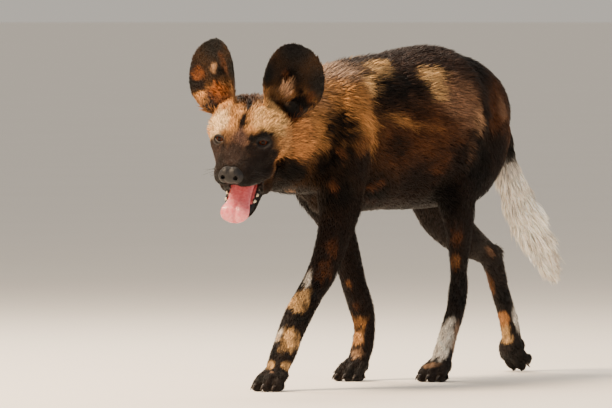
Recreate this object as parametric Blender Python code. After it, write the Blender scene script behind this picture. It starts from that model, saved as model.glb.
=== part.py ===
"""An African wild dog at life size, walking with its head low and its mouth open.

Metres, +Z up, +X towards the dog's front, +Y to its left. The flesh is modelled whole from lofted
tubes and rounded masses, melted into one skin, and then parted with thin cuts into the named parts.
The outer surface is the outline of the coat, so the torso and neck are fuller than the bare body.
"""

import math
import random

import bmesh
import bpy
import numpy as np
from mathutils import Euler, Matrix, Vector

# Driving dimensions of the animal.
WITHERS_HEIGHT = 0.572
BACK_HEIGHT = 0.596
CHEST_BOTTOM = 0.300
BELLY_HALF_WIDTH = 0.121
LEG_SPREAD = 0.068
PAW_SIZE = 0.87
EYE_RADIUS = 0.0115
EYE_SPREAD = 0.0353
EAR_LENGTH = 0.129
EAR_INNER = 0.049
# The left ear (1) and the right ear (-1): how far each root stands out, and its lean in degrees.
EAR_SEAT = {1: 0.050, -1: 0.042}
EAR_LEAN = {1: 13, -1: 21}
EAR_OUTER = 0.061
EAR_THICKNESS = 0.0042
JAW_OPENING = 27.5

# The head's own frame: its origin is midway between the eyes, +X runs along the muzzle.
HEAD_PLACE = Vector((0.133, 0.070, 0.438))
HEAD_YAW = 25.0
HEAD_PITCH = 20.0
HEAD_ROLL = -5.0
JAW_HINGE = Vector((-0.055, 0.0, -0.045))
MOUTH_CORNER = Vector((0.000, 0.0, -0.071))

# Making values.
GAP = 0.0003
BODY_VOXEL = 0.005
HEAD_VOXEL = 0.0025
FOOT_VOXEL = 0.0022
NOSE_VOXEL = 0.0014
SIDES = 24
SPANS = 5
BODY_TRIANGLES = 5200
HEAD_TRIANGLES = 3250
PAW_TRIANGLES = 400
NOSE_TRIANGLES = 300


def clear_scene():
    """Removes every object of the startup scene."""
    for obj in list(bpy.data.objects):
        bpy.data.objects.remove(obj)


def make_object(name, bm):
    """Turns a bmesh into a linked object and frees it."""
    mesh = bpy.data.meshes.new(name)
    bm.to_mesh(mesh)
    bm.free()
    obj = bpy.data.objects.new(name, mesh)
    bpy.context.collection.objects.link(obj)
    return obj


def copy_of(obj, name):
    """A linked copy of an object with a mesh of its own."""
    twin = bpy.data.objects.new(name, obj.data.copy())
    twin.matrix_world = obj.matrix_world.copy()
    bpy.context.collection.objects.link(twin)
    return twin


def apply_modifiers(obj):
    """Replaces the object's mesh with what its modifiers make of it."""
    graph = bpy.context.evaluated_depsgraph_get()
    mesh = bpy.data.meshes.new_from_object(obj.evaluated_get(graph))
    obj.modifiers.clear()
    obj.data = mesh


def remove(*objects):
    """Deletes helper objects that have done their work."""
    for obj in objects:
        bpy.data.objects.remove(obj)


def spline(rows, spans=SPANS):
    """Rows of numbers made smooth: a Catmull-Rom curve through every column."""
    rows = np.array(rows, float)
    padded = np.vstack([2 * rows[0] - rows[1], rows, 2 * rows[-1] - rows[-2]])
    made = []
    for before, start, end, after in zip(padded, padded[1:], padded[2:], padded[3:]):
        for t in np.arange(spans) / spans:
            made.append(
                0.5
                * (
                    2 * start
                    + (end - before) * t
                    + (2 * before - 5 * start + 4 * end - after) * t**2
                    + (3 * start - before - 3 * end + after) * t**3
                )
            )
    made.append(rows[-1])
    return np.array(made)


def add_tube(bm, stations, side=(0, 1, 0), squareness=2.0, place=None, spans=SPANS, sides=SIDES):
    """Adds a closed tube through stations of x, y, z, half width, half depth and egg.

    The half width is measured along the side direction. Egg above 0 makes the lower half wider.
    """
    rows = spline(stations, spans)
    centres = rows[:, :3]
    tangents = np.gradient(centres, axis=0)
    rings = []
    for row, centre, tangent in zip(rows, centres, tangents):
        along = Vector(tangent).normalized()
        across = Vector(side) - along * along.dot(Vector(side))
        across.normalize()
        upward = across.cross(along)
        wide, deep, egg = row[3:6]
        ring = []
        for k in range(sides):
            angle = 2 * math.pi * k / sides
            c, s = math.cos(angle), math.sin(angle)
            c = math.copysign(abs(c) ** (2 / squareness), c)
            s = math.copysign(abs(s) ** (2 / squareness), s)
            point = Vector(centre) + across * (wide * c * (1 - egg * s)) + upward * (deep * s)
            ring.append(bm.verts.new(place @ point if place else point))
        rings.append(ring)
    for ring, following in zip(rings, rings[1:]):
        for k in range(sides):
            j = (k + 1) % sides
            bm.faces.new((ring[k], ring[j], following[j], following[k]))
    bm.faces.new(reversed(rings[0]))
    bm.faces.new(rings[-1])


def add_lump(bm, centre, radii, turn=(0, 0, 0), place=None, segments=24):
    """Adds an ellipsoid, turned by Euler angles in degrees."""
    turned = Euler([math.radians(a) for a in turn]).to_matrix().to_4x4()
    matrix = Matrix.Translation(centre) @ turned @ Matrix.Diagonal((*radii, 1))
    if place:
        matrix = place @ matrix
    rows = segments // 2 + 2
    bmesh.ops.create_uvsphere(bm, u_segments=segments, v_segments=rows, radius=1, matrix=matrix)


def melt(bm, name, voxel, rounds, softness=None):
    """Melts the shells of a bmesh into one skin, smooths it and returns the object.

    Softness gives, for a point, the share of the smoothing that it takes.
    """
    bmesh.ops.recalc_face_normals(bm, faces=bm.faces)
    obj = make_object(name, bm)
    remesh = obj.modifiers.new("melt", "REMESH")
    remesh.mode = "VOXEL"
    remesh.voxel_size = voxel
    apply_modifiers(obj)
    soften = obj.modifiers.new("soften", "SMOOTH")
    soften.factor = 0.5
    soften.iterations = rounds
    if softness:
        group = obj.vertex_groups.new(name="soft")
        for vertex in obj.data.vertices:
            group.add([vertex.index], softness(vertex.co), "REPLACE")
        soften.vertex_group = "soft"
    apply_modifiers(obj)
    obj.vertex_groups.clear()
    return obj


def thin_out(obj, triangles):
    """Collapses the mesh to about this many triangles."""
    obj.data.calc_loop_triangles()
    reduce = obj.modifiers.new("reduce", "DECIMATE")
    reduce.ratio = min(1.0, triangles / len(obj.data.loop_triangles))
    apply_modifiers(obj)
    return obj


def keep_largest(obj):
    """Keeps only the largest closed surface of a mesh, by the box that it fills."""
    bm = bmesh.new()
    bm.from_mesh(obj.data)
    left = set(bm.verts)
    islands = []
    while left:
        island = {left.pop()}
        front = list(island)
        while front:
            near = {e.other_vert(v) for v in front for e in v.link_edges}
            front = list(near - island)
            island |= near
        left -= island
        islands.append(island)
    islands.sort(key=len)
    for island in islands[:-1]:
        bmesh.ops.delete(bm, geom=list(island), context="VERTS")
    bm.to_mesh(obj.data)
    bm.free()


def combine(obj, operation, *others, solver="EXACT"):
    """Applies a Boolean of the object with the others, which are then removed."""
    group = bpy.data.collections.new("operands")
    bpy.context.scene.collection.children.link(group)
    for other in others:
        for owner in list(other.users_collection):
            owner.objects.unlink(other)
        group.objects.link(other)
    boolean = obj.modifiers.new("combine", "BOOLEAN")
    boolean.operation = operation
    boolean.operand_type = "COLLECTION"
    boolean.collection = group
    boolean.solver = solver
    apply_modifiers(obj)
    remove(*others)
    bpy.data.collections.remove(group)
    keep_largest(obj)
    return obj


def grown(obj, by=GAP):
    """A copy of an object whose surface is moved outwards."""
    twin = copy_of(obj, "grown")
    swell = twin.modifiers.new("swell", "DISPLACE")
    swell.strength = by
    swell.mid_level = 0
    apply_modifiers(twin)
    return twin


def half_space(point, normal, reach=2.0):
    """A large cube that fills the side of a plane to which the normal points."""
    bm = bmesh.new()
    bmesh.ops.create_cube(bm, size=reach)
    turned = Vector(normal).normalized().to_track_quat("Z", "Y").to_matrix().to_4x4()
    bm.transform(Matrix.Translation(point) @ turned @ Matrix.Translation((0, 0, reach / 2)))
    return make_object("half_space", bm)


def side_prism(outline, near, far, margin=0.0):
    """A prism over a convex outline of x and z, from y near to y far, grown by a margin."""
    points = [Vector(p) for p in outline]
    middle = sum(points, Vector((0, 0))) / len(points)
    moved = []
    for before, point, after in zip(points[-1:] + points, points, points[1:] + points[:1]):
        edges = [(point - before).normalized(), (after - point).normalized()]
        normals = [Vector((e.y, -e.x)) for e in edges]
        normals = [n if n.dot(point - middle) > 0 else -n for n in normals]
        miter = (normals[0] + normals[1]).normalized()
        moved.append(point + miter * margin / max(miter.dot(normals[0]), 0.3))
    side = math.copysign(1, near)
    bm = bmesh.new()
    base = [bm.verts.new((p.x, near - side * margin, p.y)) for p in moved]
    face = bm.faces.new(base)
    pushed = bmesh.ops.extrude_face_region(bm, geom=[face])["geom"]
    lifted = [v for v in pushed if isinstance(v, bmesh.types.BMVert)]
    bmesh.ops.translate(bm, verts=lifted, vec=(0, far - near, 0))
    bmesh.ops.recalc_face_normals(bm, faces=bm.faces)
    return make_object("prism", bm)


def head_matrix():
    """The head's frame in the dog's."""
    turn = (
        Matrix.Rotation(math.radians(HEAD_YAW), 4, "Z")
        @ Matrix.Rotation(math.radians(HEAD_PITCH), 4, "Y")
        @ Matrix.Rotation(math.radians(HEAD_ROLL), 4, "X")
    )
    return Matrix.Translation(HEAD_PLACE) @ turn


def jaw_matrix():
    """The lower jaw's frame, swung open about its hinge."""
    swing = Matrix.Rotation(math.radians(JAW_OPENING), 4, "Y")
    return head_matrix() @ Matrix.Translation(JAW_HINGE) @ swing @ Matrix.Translation(-JAW_HINGE)


def profile(rows):
    """Stations from rows of x, top, bottom, half width and egg, along the middle plane."""
    return [(x, 0, (top + bottom) / 2, wide, (top - bottom) / 2, egg) for x, top, bottom, wide, egg in rows]


def add_trunk(bm):
    """The chest, belly and rump."""
    withers, back, bottom = WITHERS_HEIGHT, BACK_HEIGHT, CHEST_BOTTOM
    belly = BELLY_HALF_WIDTH
    rows = [
        (-0.072, withers - 0.110, bottom + 0.085, 0.030, 0.0),
        (-0.085, withers - 0.075, bottom + 0.064, 0.050, 0.0),
        (-0.115, withers - 0.038, bottom + 0.036, 0.072, 0.0),
        (-0.160, withers - 0.012, bottom + 0.016, 0.087, 0.02),
        (-0.220, withers, bottom + 0.003, 0.098, 0.05),
        (-0.290, withers + 0.006, bottom + 0.006, belly - 0.015, 0.10),
        (-0.370, back - 0.008, bottom + 0.005, belly - 0.004, 0.12),
        (-0.440, back, bottom + 0.007, belly, 0.08),
        (-0.500, back - 0.004, bottom + 0.018, belly - 0.013, 0.0),
        (-0.550, back - 0.014, bottom + 0.050, 0.083, -0.05),
        (-0.595, back - 0.034, bottom + 0.080, 0.068, -0.05),
        (-0.630, back - 0.062, bottom + 0.110, 0.050, 0.0),
        (-0.656, back - 0.090, bottom + 0.138, 0.030, 0.0),
        (-0.668, back - 0.106, bottom + 0.158, 0.016, 0.0),
    ]
    add_tube(bm, profile(rows), squareness=2.15, sides=32)
    add_lump(bm, (-0.185, 0, bottom + 0.036), (0.050, 0.040, 0.036))


def add_neck(bm):
    """The neck, from inside the chest to inside the skull, bending to the dog's left."""
    stations = [
        (-0.240, 0.000, 0.455, 0.078, 0.100, 0.05),
        (-0.150, 0.002, 0.446, 0.084, 0.108, 0.00),
        (-0.085, 0.008, 0.437, 0.080, 0.099, -0.02),
        (-0.030, 0.018, 0.431, 0.075, 0.090, -0.03),
        (0.020, 0.031, 0.431, 0.070, 0.082, -0.03),
        (0.065, 0.046, 0.431, 0.056, 0.062, 0.00),
    ]
    add_tube(bm, stations, sides=32)


def add_skull(bm):
    """The braincase, cheeks and upper muzzle."""
    place = head_matrix()
    rows = [
        (-0.118, 0.030, -0.036, 0.034, 0.0),
        (-0.106, 0.044, -0.056, 0.052, 0.0),
        (-0.082, 0.053, -0.068, 0.066, 0.05),
        (-0.054, 0.050, -0.073, 0.071, 0.10),
        (-0.029, 0.040, -0.074, 0.068, 0.14),
        (-0.010, 0.026, -0.073, 0.059, 0.16),
        (0.008, 0.009, -0.071, 0.050, 0.18),
        (0.024, -0.001, -0.068, 0.043, 0.17),
        (0.042, -0.007, -0.064, 0.037, 0.14),
        (0.058, -0.012, -0.060, 0.0325, 0.10),
        (0.072, -0.018, -0.057, 0.028, 0.0),
        (0.081, -0.026, -0.050, 0.022, 0.0),
    ]
    add_tube(bm, profile(rows), squareness=2.35, place=place)
    for side in (-1, 1):
        add_lump(bm, (-0.010, side * 0.027, 0.018), (0.020, 0.016, 0.011), (0, 20, side * -18), place)
        lip = [
            (0.074, side * 0.012, -0.046, 0.0110, 0.0110, 0),
            (0.060, side * 0.021, -0.050, 0.0125, 0.0128, 0),
            (0.040, side * 0.028, -0.0535, 0.0130, 0.0135, 0),
            (0.018, side * 0.034, -0.0570, 0.0130, 0.0130, 0),
            (-0.008, side * 0.040, -0.0585, 0.0120, 0.0130, 0),
            (-0.032, side * 0.044, -0.0570, 0.0100, 0.0120, 0),
        ]
        add_tube(bm, lip, place=place, sides=16)
        add_lump(bm, (-0.088, side * 0.040, 0.010), (0.028, 0.022, 0.030), place=place)


def add_jaw(bm):
    """The lower jaw, swung open, with the skin at the corners of the mouth."""
    place = jaw_matrix()
    rows = [
        (-0.075, -0.020, -0.066, 0.040, 0.0),
        (-0.045, -0.036, -0.078, 0.044, 0.0),
        (-0.015, -0.054, -0.084, 0.038, 0.0),
        (0.012, -0.060, -0.087, 0.0325, 0.0),
        (0.038, -0.061, -0.087, 0.0290, 0.0),
        (0.056, -0.062, -0.084, 0.0260, 0.0),
        (0.067, -0.064, -0.080, 0.0200, 0.0),
        (0.073, -0.067, -0.076, 0.0110, 0.0),
    ]
    add_tube(bm, profile(rows), squareness=2.5, place=place)
    head = head_matrix()
    for side in (-1, 1):
        add_lump(bm, (-0.030, side * 0.036, -0.080), (0.033, 0.012, 0.024), (0, 26, 0), head)


def add_limb(bm, joints, side):
    """A leg through joints of x, distance from the middle plane, z, half width and half depth."""
    add_tube(bm, [(x, side * y, z, wide, deep, 0) for x, y, z, wide, deep in joints])


FORELEG_REACHING = [
    (-0.215, 0.042, 0.530, 0.026, 0.044),
    (-0.182, 0.056, 0.480, 0.036, 0.062),
    (-0.146, 0.065, 0.420, 0.039, 0.064),
    (-0.126, 0.073, 0.365, 0.034, 0.057),
    (-0.122, 0.075, 0.316, 0.030, 0.048),
    (-0.105, 0.076, 0.266, 0.0255, 0.0345),
    (-0.076, 0.075, 0.206, 0.0235, 0.0290),
    (-0.045, 0.073, 0.168, 0.0220, 0.0245),
    (-0.018, 0.071, 0.135, 0.0240, 0.0250),
    (0.004, 0.070, 0.101, 0.0230, 0.0235),
    (0.020, LEG_SPREAD, 0.068, 0.0225, 0.0220),
    (0.037, LEG_SPREAD, 0.042, 0.0210, 0.0190),
    (0.044, LEG_SPREAD, 0.024, 0.0190, 0.0150),
]
FORELEG_TRAILING = [
    (-0.224, 0.040, 0.530, 0.026, 0.044),
    (-0.208, 0.054, 0.480, 0.036, 0.058),
    (-0.198, 0.062, 0.420, 0.038, 0.060),
    (-0.222, 0.066, 0.365, 0.034, 0.056),
    (-0.262, 0.066, 0.315, 0.029, 0.044),
    (-0.290, 0.063, 0.262, 0.0250, 0.0320),
    (-0.314, 0.062, 0.205, 0.0220, 0.0260),
    (-0.328, 0.061, 0.166, 0.0215, 0.0235),
    (-0.343, 0.060, 0.134, 0.0225, 0.0235),
    (-0.354, 0.060, 0.100, 0.0200, 0.0195),
    (-0.350, 0.060, 0.066, 0.0200, 0.0190),
    (-0.340, 0.060, 0.042, 0.0200, 0.0180),
    (-0.332, 0.060, 0.024, 0.0180, 0.0150),
]
HINDLEG_PLANTED = [
    (-0.556, 0.040, 0.505, 0.034, 0.058),
    (-0.532, 0.058, 0.450, 0.042, 0.080),
    (-0.482, 0.072, 0.392, 0.040, 0.077),
    (-0.440, 0.082, 0.338, 0.032, 0.048),
    (-0.442, 0.084, 0.292, 0.0230, 0.0380),
    (-0.449, 0.080, 0.240, 0.0175, 0.0250),
    (-0.455, 0.074, 0.190, 0.0140, 0.0180),
    (-0.458, 0.070, 0.158, 0.0165, 0.0205),
    (-0.452, 0.068, 0.122, 0.0165, 0.0175),
    (-0.434, 0.066, 0.080, 0.0170, 0.0170),
    (-0.418, 0.066, 0.042, 0.0185, 0.0175),
    (-0.410, 0.066, 0.024, 0.0180, 0.0150),
]
HINDLEG_PUSHING = [
    (-0.562, 0.040, 0.505, 0.034, 0.058),
    (-0.552, 0.058, 0.448, 0.042, 0.078),
    (-0.552, 0.072, 0.390, 0.040, 0.076),
    (-0.572, 0.080, 0.330, 0.034, 0.058),
    (-0.600, 0.080, 0.288, 0.026, 0.049),
    (-0.654, 0.075, 0.248, 0.021, 0.037),
    (-0.712, 0.072, 0.220, 0.0180, 0.0230),
    (-0.735, 0.070, 0.194, 0.0175, 0.0225),
    (-0.750, 0.068, 0.150, 0.0170, 0.0180),
    (-0.772, 0.066, 0.098, 0.0175, 0.0175),
    (-0.782, 0.066, 0.060, 0.0185, 0.0175),
    (-0.786, 0.066, 0.040, 0.0180, 0.0150),
]


FLAT_PAW = 0.0
PUSHING_PAW = 94.0
PAWS = {
    "forepaw_left": ((0.046, LEG_SPREAD, -0.001), 1, FLAT_PAW, FORELEG_REACHING),
    "forepaw_right": ((-0.328, 0.060, -0.001), -1, FLAT_PAW, FORELEG_TRAILING),
    "hindpaw_left": ((-0.408, 0.066, -0.001), 1, FLAT_PAW, HINDLEG_PLANTED),
    "hindpaw_right": ((-0.808, 0.066, 0.0445), -1, PUSHING_PAW, HINDLEG_PUSHING),
}
TOES = [
    # Root, knuckle, middle and tip of a toe, as reach, distance from the paw's middle, height and radius.
    [
        (-0.008, 0.007, 0.034, 0.0105),
        (0.014, 0.0095, 0.034, 0.0110),
        (0.030, 0.0105, 0.025, 0.0102),
        (0.040, 0.0108, 0.014, 0.0095),
    ],
    [
        (-0.012, 0.014, 0.032, 0.0100),
        (0.004, 0.0225, 0.031, 0.0105),
        (0.017, 0.0260, 0.023, 0.0098),
        (0.026, 0.0272, 0.013, 0.0092),
    ],
]


def paw_matrix(name):
    """The frame of one paw: its origin is under the ball of the foot, +X runs along the toes."""
    (x, y, z), side, dip, _ = PAWS[name]
    turn = Matrix.Rotation(math.radians(dip), 4, "Y")
    return Matrix.Translation((x, side * y, z)) @ turn @ Matrix.Scale(PAW_SIZE, 4)


def add_paw(bm, place):
    """Four arched toes with their pads, and the pad under the ball of the foot."""
    add_lump(bm, (-0.004, 0, 0.034), (0.026, 0.0265, 0.022), place=place)
    add_lump(bm, (-0.004, 0, 0.010), (0.019, 0.020, 0.0115), place=place)
    for side in (-1, 1):
        for toe in TOES:
            stations = [(x, side * y, z, r, r, 0) for x, y, z, r in toe]
            add_tube(bm, stations, place=place, sides=12, spans=3)
            x, y, z, r = toe[-1]
            pad = (0.0125, r - 0.0005, 0.0088)
            add_lump(bm, (x - 0.003, side * y, 0.0078), pad, place=place, segments=12)


def claws(place):
    """The four claws of one paw, curving down from the toe tips."""
    made = []
    for side in (-1, 1):
        for toe in TOES:
            x, y, z, r = toe[-1]
            bm = bmesh.new()
            stations = [
                (x - 0.002, side * y, z + 0.001, 0.0026, 0.0034, 0),
                (x + 0.008, side * y, z, 0.0023, 0.0028, 0),
                (x + 0.013, side * y, z - 0.004, 0.0015, 0.0018, 0),
                (x + 0.016, side * y, z - 0.009, 0.0006, 0.0007, 0),
            ]
            add_tube(bm, stations, place=place, sides=6, spans=1)
            bmesh.ops.recalc_face_normals(bm, faces=bm.faces)
            made.append(make_object("claw", bm))
    return made


def make_paw(name, point, normal):
    """One paw with its claws, cut from the leg above it."""
    _, side, _, limb = PAWS[name]
    place = paw_matrix(name)
    bm = bmesh.new()
    add_limb(bm, limb[-6:], side)
    add_paw(bm, place)
    paw = melt(bm, name, FOOT_VOXEL, 3)
    thin_out(paw, PAW_TRIANGLES)
    normal = Vector(normal).normalized()
    combine(paw, "INTERSECT", half_space(Vector(point) - normal * GAP / 2, -normal))
    combine(paw, "UNION", *claws(place))
    return flatten_soles(paw)


def add_legs(bm):
    """All four legs, with the muscles that carry them."""
    add_limb(bm, FORELEG_REACHING, 1)
    add_limb(bm, FORELEG_TRAILING, -1)
    add_limb(bm, HINDLEG_PLANTED, 1)
    add_limb(bm, HINDLEG_PUSHING, -1)
    add_lump(bm, (-0.158, 0.075, 0.318), (0.020, 0.018, 0.022))
    add_lump(bm, (-0.296, -0.066, 0.306), (0.020, 0.018, 0.022))
    add_lump(bm, (-0.470, 0.071, 0.172), (0.011, 0.010, 0.020), (0, -20, 0))
    add_lump(bm, (-0.746, -0.070, 0.218), (0.012, 0.011, 0.020), (0, 30, 0))
    add_lump(bm, (-0.360, -0.061, 0.126), (0.011, 0.011, 0.014))
    add_lump(bm, (-0.578, 0.044, 0.440), (0.046, 0.032, 0.062), (0, 15, 0))
    add_lump(bm, (-0.582, -0.044, 0.440), (0.046, 0.032, 0.062), (0, 15, 0))


TAIL_PATH = [
    # The core of the tail: x, y, z and radius.
    (-0.630, 0.000, 0.500, 0.024),
    (-0.660, 0.000, 0.468, 0.020),
    (-0.676, 0.000, 0.420, 0.016),
    (-0.688, 0.000, 0.372, 0.016),
    (-0.711, 0.000, 0.325, 0.016),
    (-0.744, 0.000, 0.275, 0.015),
    (-0.776, 0.000, 0.230, 0.012),
    (-0.800, 0.000, 0.195, 0.008),
    (-0.818, 0.000, 0.178, 0.003),
]
BRUSH = [
    # How far the tips of the locks stand from the tail's axis, by the distance along the tail.
    (0.00, 0.024),
    (0.06, 0.022),
    (0.10, 0.024),
    (0.16, 0.032),
    (0.22, 0.038),
    (0.28, 0.037),
    (0.33, 0.030),
    (0.38, 0.016),
    (0.42, 0.004),
]
LOCK_RINGS = 8
LOCKS_PER_RING = 4
RING_TURN = 0.38
FIRST_RING = 0.074
RING_STEP = 0.0318
LOCK_LENGTH = 0.086
LOCK_SINK = 0.007
LOCK_BREADTH = 0.007
LOCK_THICKNESS = 0.0034
LOCK_STATIONS = [
    # Share of the lock's length, and there the shares of its breadth and thickness.
    (0.00, 0.80, 1.00),
    (0.45, 1.00, 0.85),
    (0.78, 0.62, 0.55),
    (1.00, 0.08, 0.12),
]
CORE_TRIANGLES = 240
TAIL_CUT = ((-0.662, 0, 0.470), (-0.80, 0, -0.60))


def add_tail(bm):
    """The core of the tail."""
    add_tube(bm, [(x, y, z, radius, radius, 0) for x, y, z, radius in TAIL_PATH])


def tail_station(distance):
    """The centre, direction and core radius of the tail at a distance along it."""
    rows = spline(TAIL_PATH)
    steps = np.linalg.norm(np.diff(rows[:, :3], axis=0), axis=1)
    run = np.concatenate([[0], np.cumsum(steps)])
    tangents = np.gradient(rows[:, :3], axis=0)
    inside = min(distance, run[-1])
    centre = Vector([np.interp(inside, run, column) for column in rows[:, :3].T])
    along = Vector([np.interp(inside, run, column) for column in tangents.T]).normalized()
    return centre + along * (distance - inside), along, np.interp(inside, run, rows[:, 3])


def tail_lock(distance, angle, length, rng):
    """One flat, tapered lock that leaves the core and bends along the tail."""
    spread = np.interp([distance, distance + length], *zip(*BRUSH))
    root = tail_station(distance)[2] - LOCK_SINK
    tip = spread[1] * rng.uniform(0.86, 1.04)
    twist = rng.uniform(-0.25, 0.25)
    breadth = LOCK_BREADTH + 0.30 * spread[0]
    bm = bmesh.new()
    rings = []
    for share, wide, thick in LOCK_STATIONS:
        centre, along, _ = tail_station(distance + length * share)
        turn = angle + twist * share
        across = Vector((0, 1, 0))
        radial = across * math.cos(turn) + across.cross(along).normalized() * math.sin(turn)
        middle = centre + radial * (root + (tip - root) * math.sin(share * math.pi / 2))
        side = along.cross(radial).normalized() * breadth * wide
        depth = radial * LOCK_THICKNESS * thick
        rings.append([bm.verts.new(middle + corner) for corner in (side, depth, -side, -depth)])
    for ring, following in zip(rings, rings[1:]):
        for k in range(4):
            j = (k + 1) % 4
            bm.faces.new((ring[k], ring[j], following[j], following[k]))
    bm.faces.new(reversed(rings[0]))
    bm.faces.new(rings[-1])
    bmesh.ops.triangulate(bm, faces=bm.faces)
    bmesh.ops.recalc_face_normals(bm, faces=bm.faces)
    return make_object("lock", bm)


def brush(tail):
    """Joins the tail's locks, ring by ring, to its core."""
    rng = random.Random(11)
    thin_out(tail, CORE_TRIANGLES)
    point, normal = Vector(TAIL_CUT[0]), Vector(TAIL_CUT[1]).normalized()
    combine(tail, "INTERSECT", half_space(point + normal * GAP / 2, normal))
    locks = []
    for i in range(LOCK_RINGS):
        distance = FIRST_RING + i * RING_STEP
        for k in range(LOCKS_PER_RING):
            angle = 2 * math.pi * (k + RING_TURN * i + rng.uniform(-0.08, 0.08)) / LOCKS_PER_RING
            locks.append(tail_lock(distance, angle, LOCK_LENGTH * rng.uniform(0.9, 1.12), rng))
    return combine(tail, "UNION", *locks)


def body_softness(point):
    """Full smoothing on the trunk, little on the lower legs, which would shrink."""
    return min(1.0, max(0.12, (point.z - 0.20) / 0.12))


def add_lids(head, side):
    """Adds the lids over one eye, opens an almond between them and hollows the socket."""
    gaze = eye_matrix(side)
    bm = bmesh.new()
    add_lump(bm, (0, 0, 0), (EYE_RADIUS + 0.0026,) * 3, place=gaze, segments=20)
    shell = make_object("lids", bm)
    combine(head, "UNION", shell)
    bm = bmesh.new()
    rim = []
    steps = 8
    for k in range(steps):
        angle = 2 * math.pi * k / steps
        c, s = math.cos(angle), math.sin(angle)
        rim.append(Vector((0, 0.0112 * c, 0.0078 * s * (1 - 0.25 * abs(c)))))
    near = [bm.verts.new(gaze @ (p + Vector((0.002, 0, 0)))) for p in rim]
    far = [bm.verts.new(gaze @ (p * 1.15 + Vector((0.030, 0, 0)))) for p in rim]
    bm.faces.new(near)
    bm.faces.new(far)
    for k in range(steps):
        j = (k + 1) % steps
        bm.faces.new((near[k], near[j], far[j], far[k]))
    bmesh.ops.recalc_face_normals(bm, faces=bm.faces)
    almond = make_object("almond", bm)
    bm = bmesh.new()
    add_lump(bm, (0, 0, 0), (EYE_RADIUS + GAP,) * 3, place=gaze, segments=20)
    socket = make_object("socket", bm)
    combine(head, "DIFFERENCE", almond)
    combine(head, "DIFFERENCE", socket)


def eye_matrix(side):
    """The frame of one eye: its centre, with +X along the gaze."""
    out = Matrix.Rotation(math.radians(side * 20), 4, "Z")
    up = Matrix.Rotation(math.radians(-6), 4, "Y")
    return head_matrix() @ Matrix.Translation((0.000, side * EYE_SPREAD, 0.0)) @ out @ up


def make_eye(side, name):
    """One eyeball."""
    bm = bmesh.new()
    add_lump(bm, (0, 0, 0), (EYE_RADIUS,) * 3, place=eye_matrix(side), segments=12)
    return make_object(name, bm)


def ear_matrix(side):
    """The frame of one ear: its root, +Z up the ear, +X out of the cup, +Y to its outer edge."""
    tip_out = Matrix.Rotation(math.radians(-side * EAR_LEAN[side]), 4, "X")
    lean = tip_out @ Matrix.Rotation(math.radians(-8), 4, "Y")
    out = Matrix.Rotation(math.radians(side * 24), 4, "Z")
    mirror = Matrix.Diagonal((1, side, 1, 1))
    seat = Matrix.Translation((-0.066, side * EAR_SEAT[side], 0.020))
    return head_matrix() @ seat @ lean @ out @ mirror


def ear_point(climb, across):
    """A point of the ear's middle surface.

    Climb runs from below 0 in the head to 1 at the widest place and 2 at the tip, across from -1 to 1.
    """
    if climb <= 1:
        up = 0.52 * climb
        swell = math.sin(max(0.0, climb) * math.pi / 2) ** 0.75
        inner = 0.020 + (EAR_INNER - 0.020) * swell
        outer = 0.026 + (EAR_OUTER - 0.026) * swell
    else:
        turn = (climb - 1) * math.radians(86)
        up = 0.52 + 0.48 * math.sin(turn)
        inner = EAR_INNER * math.cos(turn) ** 0.85
        outer = EAR_OUTER * math.cos(turn) ** 0.85
    cup = 0.010 + 0.034 * max(0.0, 1 - up) ** 1.6
    fullness = (inner + outer) / (EAR_INNER + EAR_OUTER)
    aside = across * (outer if across > 0 else inner)
    return Vector((cup * fullness * across**2 - 0.010 - 0.012 * up**2, aside, EAR_LENGTH * up))


def make_ear(side, name):
    """One ear: a broad cup on a rolled root."""
    rows, columns = 12, 9
    place = ear_matrix(side)
    bm = bmesh.new()
    grid = []
    for i in range(rows):
        climb = -0.22 + 2.22 * i / (rows - 1)
        line = [ear_point(climb, 2 * j / (columns - 1) - 1) for j in range(columns)]
        grid.append([bm.verts.new(place @ p) for p in line])
    for low, high in zip(grid, grid[1:]):
        for j in range(columns - 1):
            bm.faces.new((low[j], low[j + 1], high[j + 1], high[j]))
    obj = make_object(name, bm)
    wall = obj.modifiers.new("wall", "SOLIDIFY")
    wall.thickness = EAR_THICKNESS
    wall.offset = 0
    apply_modifiers(obj)
    bm = bmesh.new()
    bm.from_mesh(obj.data)
    bmesh.ops.recalc_face_normals(bm, faces=bm.faces)
    bm.to_mesh(obj.data)
    bm.free()
    return obj


def make_nose(head):
    """The nose pad with its nostrils, seated on the end of the muzzle."""
    place = head_matrix()
    bm = bmesh.new()
    add_lump(bm, (0.083, 0, -0.034), (0.0145, 0.0180, 0.0150), (0, -8, 0), place)
    for side in (-1, 1):
        add_lump(bm, (0.083, side * 0.0120, -0.036), (0.0130, 0.0098, 0.0125), place=place)
        add_lump(bm, (0.085, side * 0.0070, -0.028), (0.0120, 0.0095, 0.0100), place=place)
    nose = melt(bm, "nose", NOSE_VOXEL, 4)
    thin_out(nose, NOSE_TRIANGLES)
    for side in (-1, 1):
        bm = bmesh.new()
        nostril = [
            (0.106, side * 0.0098, -0.0350, 0.0040, 0.0044, 0),
            (0.095, side * 0.0110, -0.0345, 0.0038, 0.0042, 0),
            (0.088, side * 0.0140, -0.0350, 0.0026, 0.0032, 0),
        ]
        add_tube(bm, nostril, place=place, sides=10, spans=2)
        slit = [
            (0.102, side * 0.0125, -0.0385, 0.0018, 0.0016, 0),
            (0.094, side * 0.0180, -0.0400, 0.0018, 0.0016, 0),
            (0.086, side * 0.0250, -0.0405, 0.0018, 0.0016, 0),
        ]
        bmesh.ops.recalc_face_normals(bm, faces=bm.faces)
        combine(nose, "DIFFERENCE", make_object("nostril", bm))
        bm = bmesh.new()
        add_tube(bm, slit, place=place, sides=8, spans=2)
        bmesh.ops.recalc_face_normals(bm, faces=bm.faces)
        combine(nose, "DIFFERENCE", make_object("slit", bm))
    combine(nose, "DIFFERENCE", grown(head))
    return nose


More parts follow.
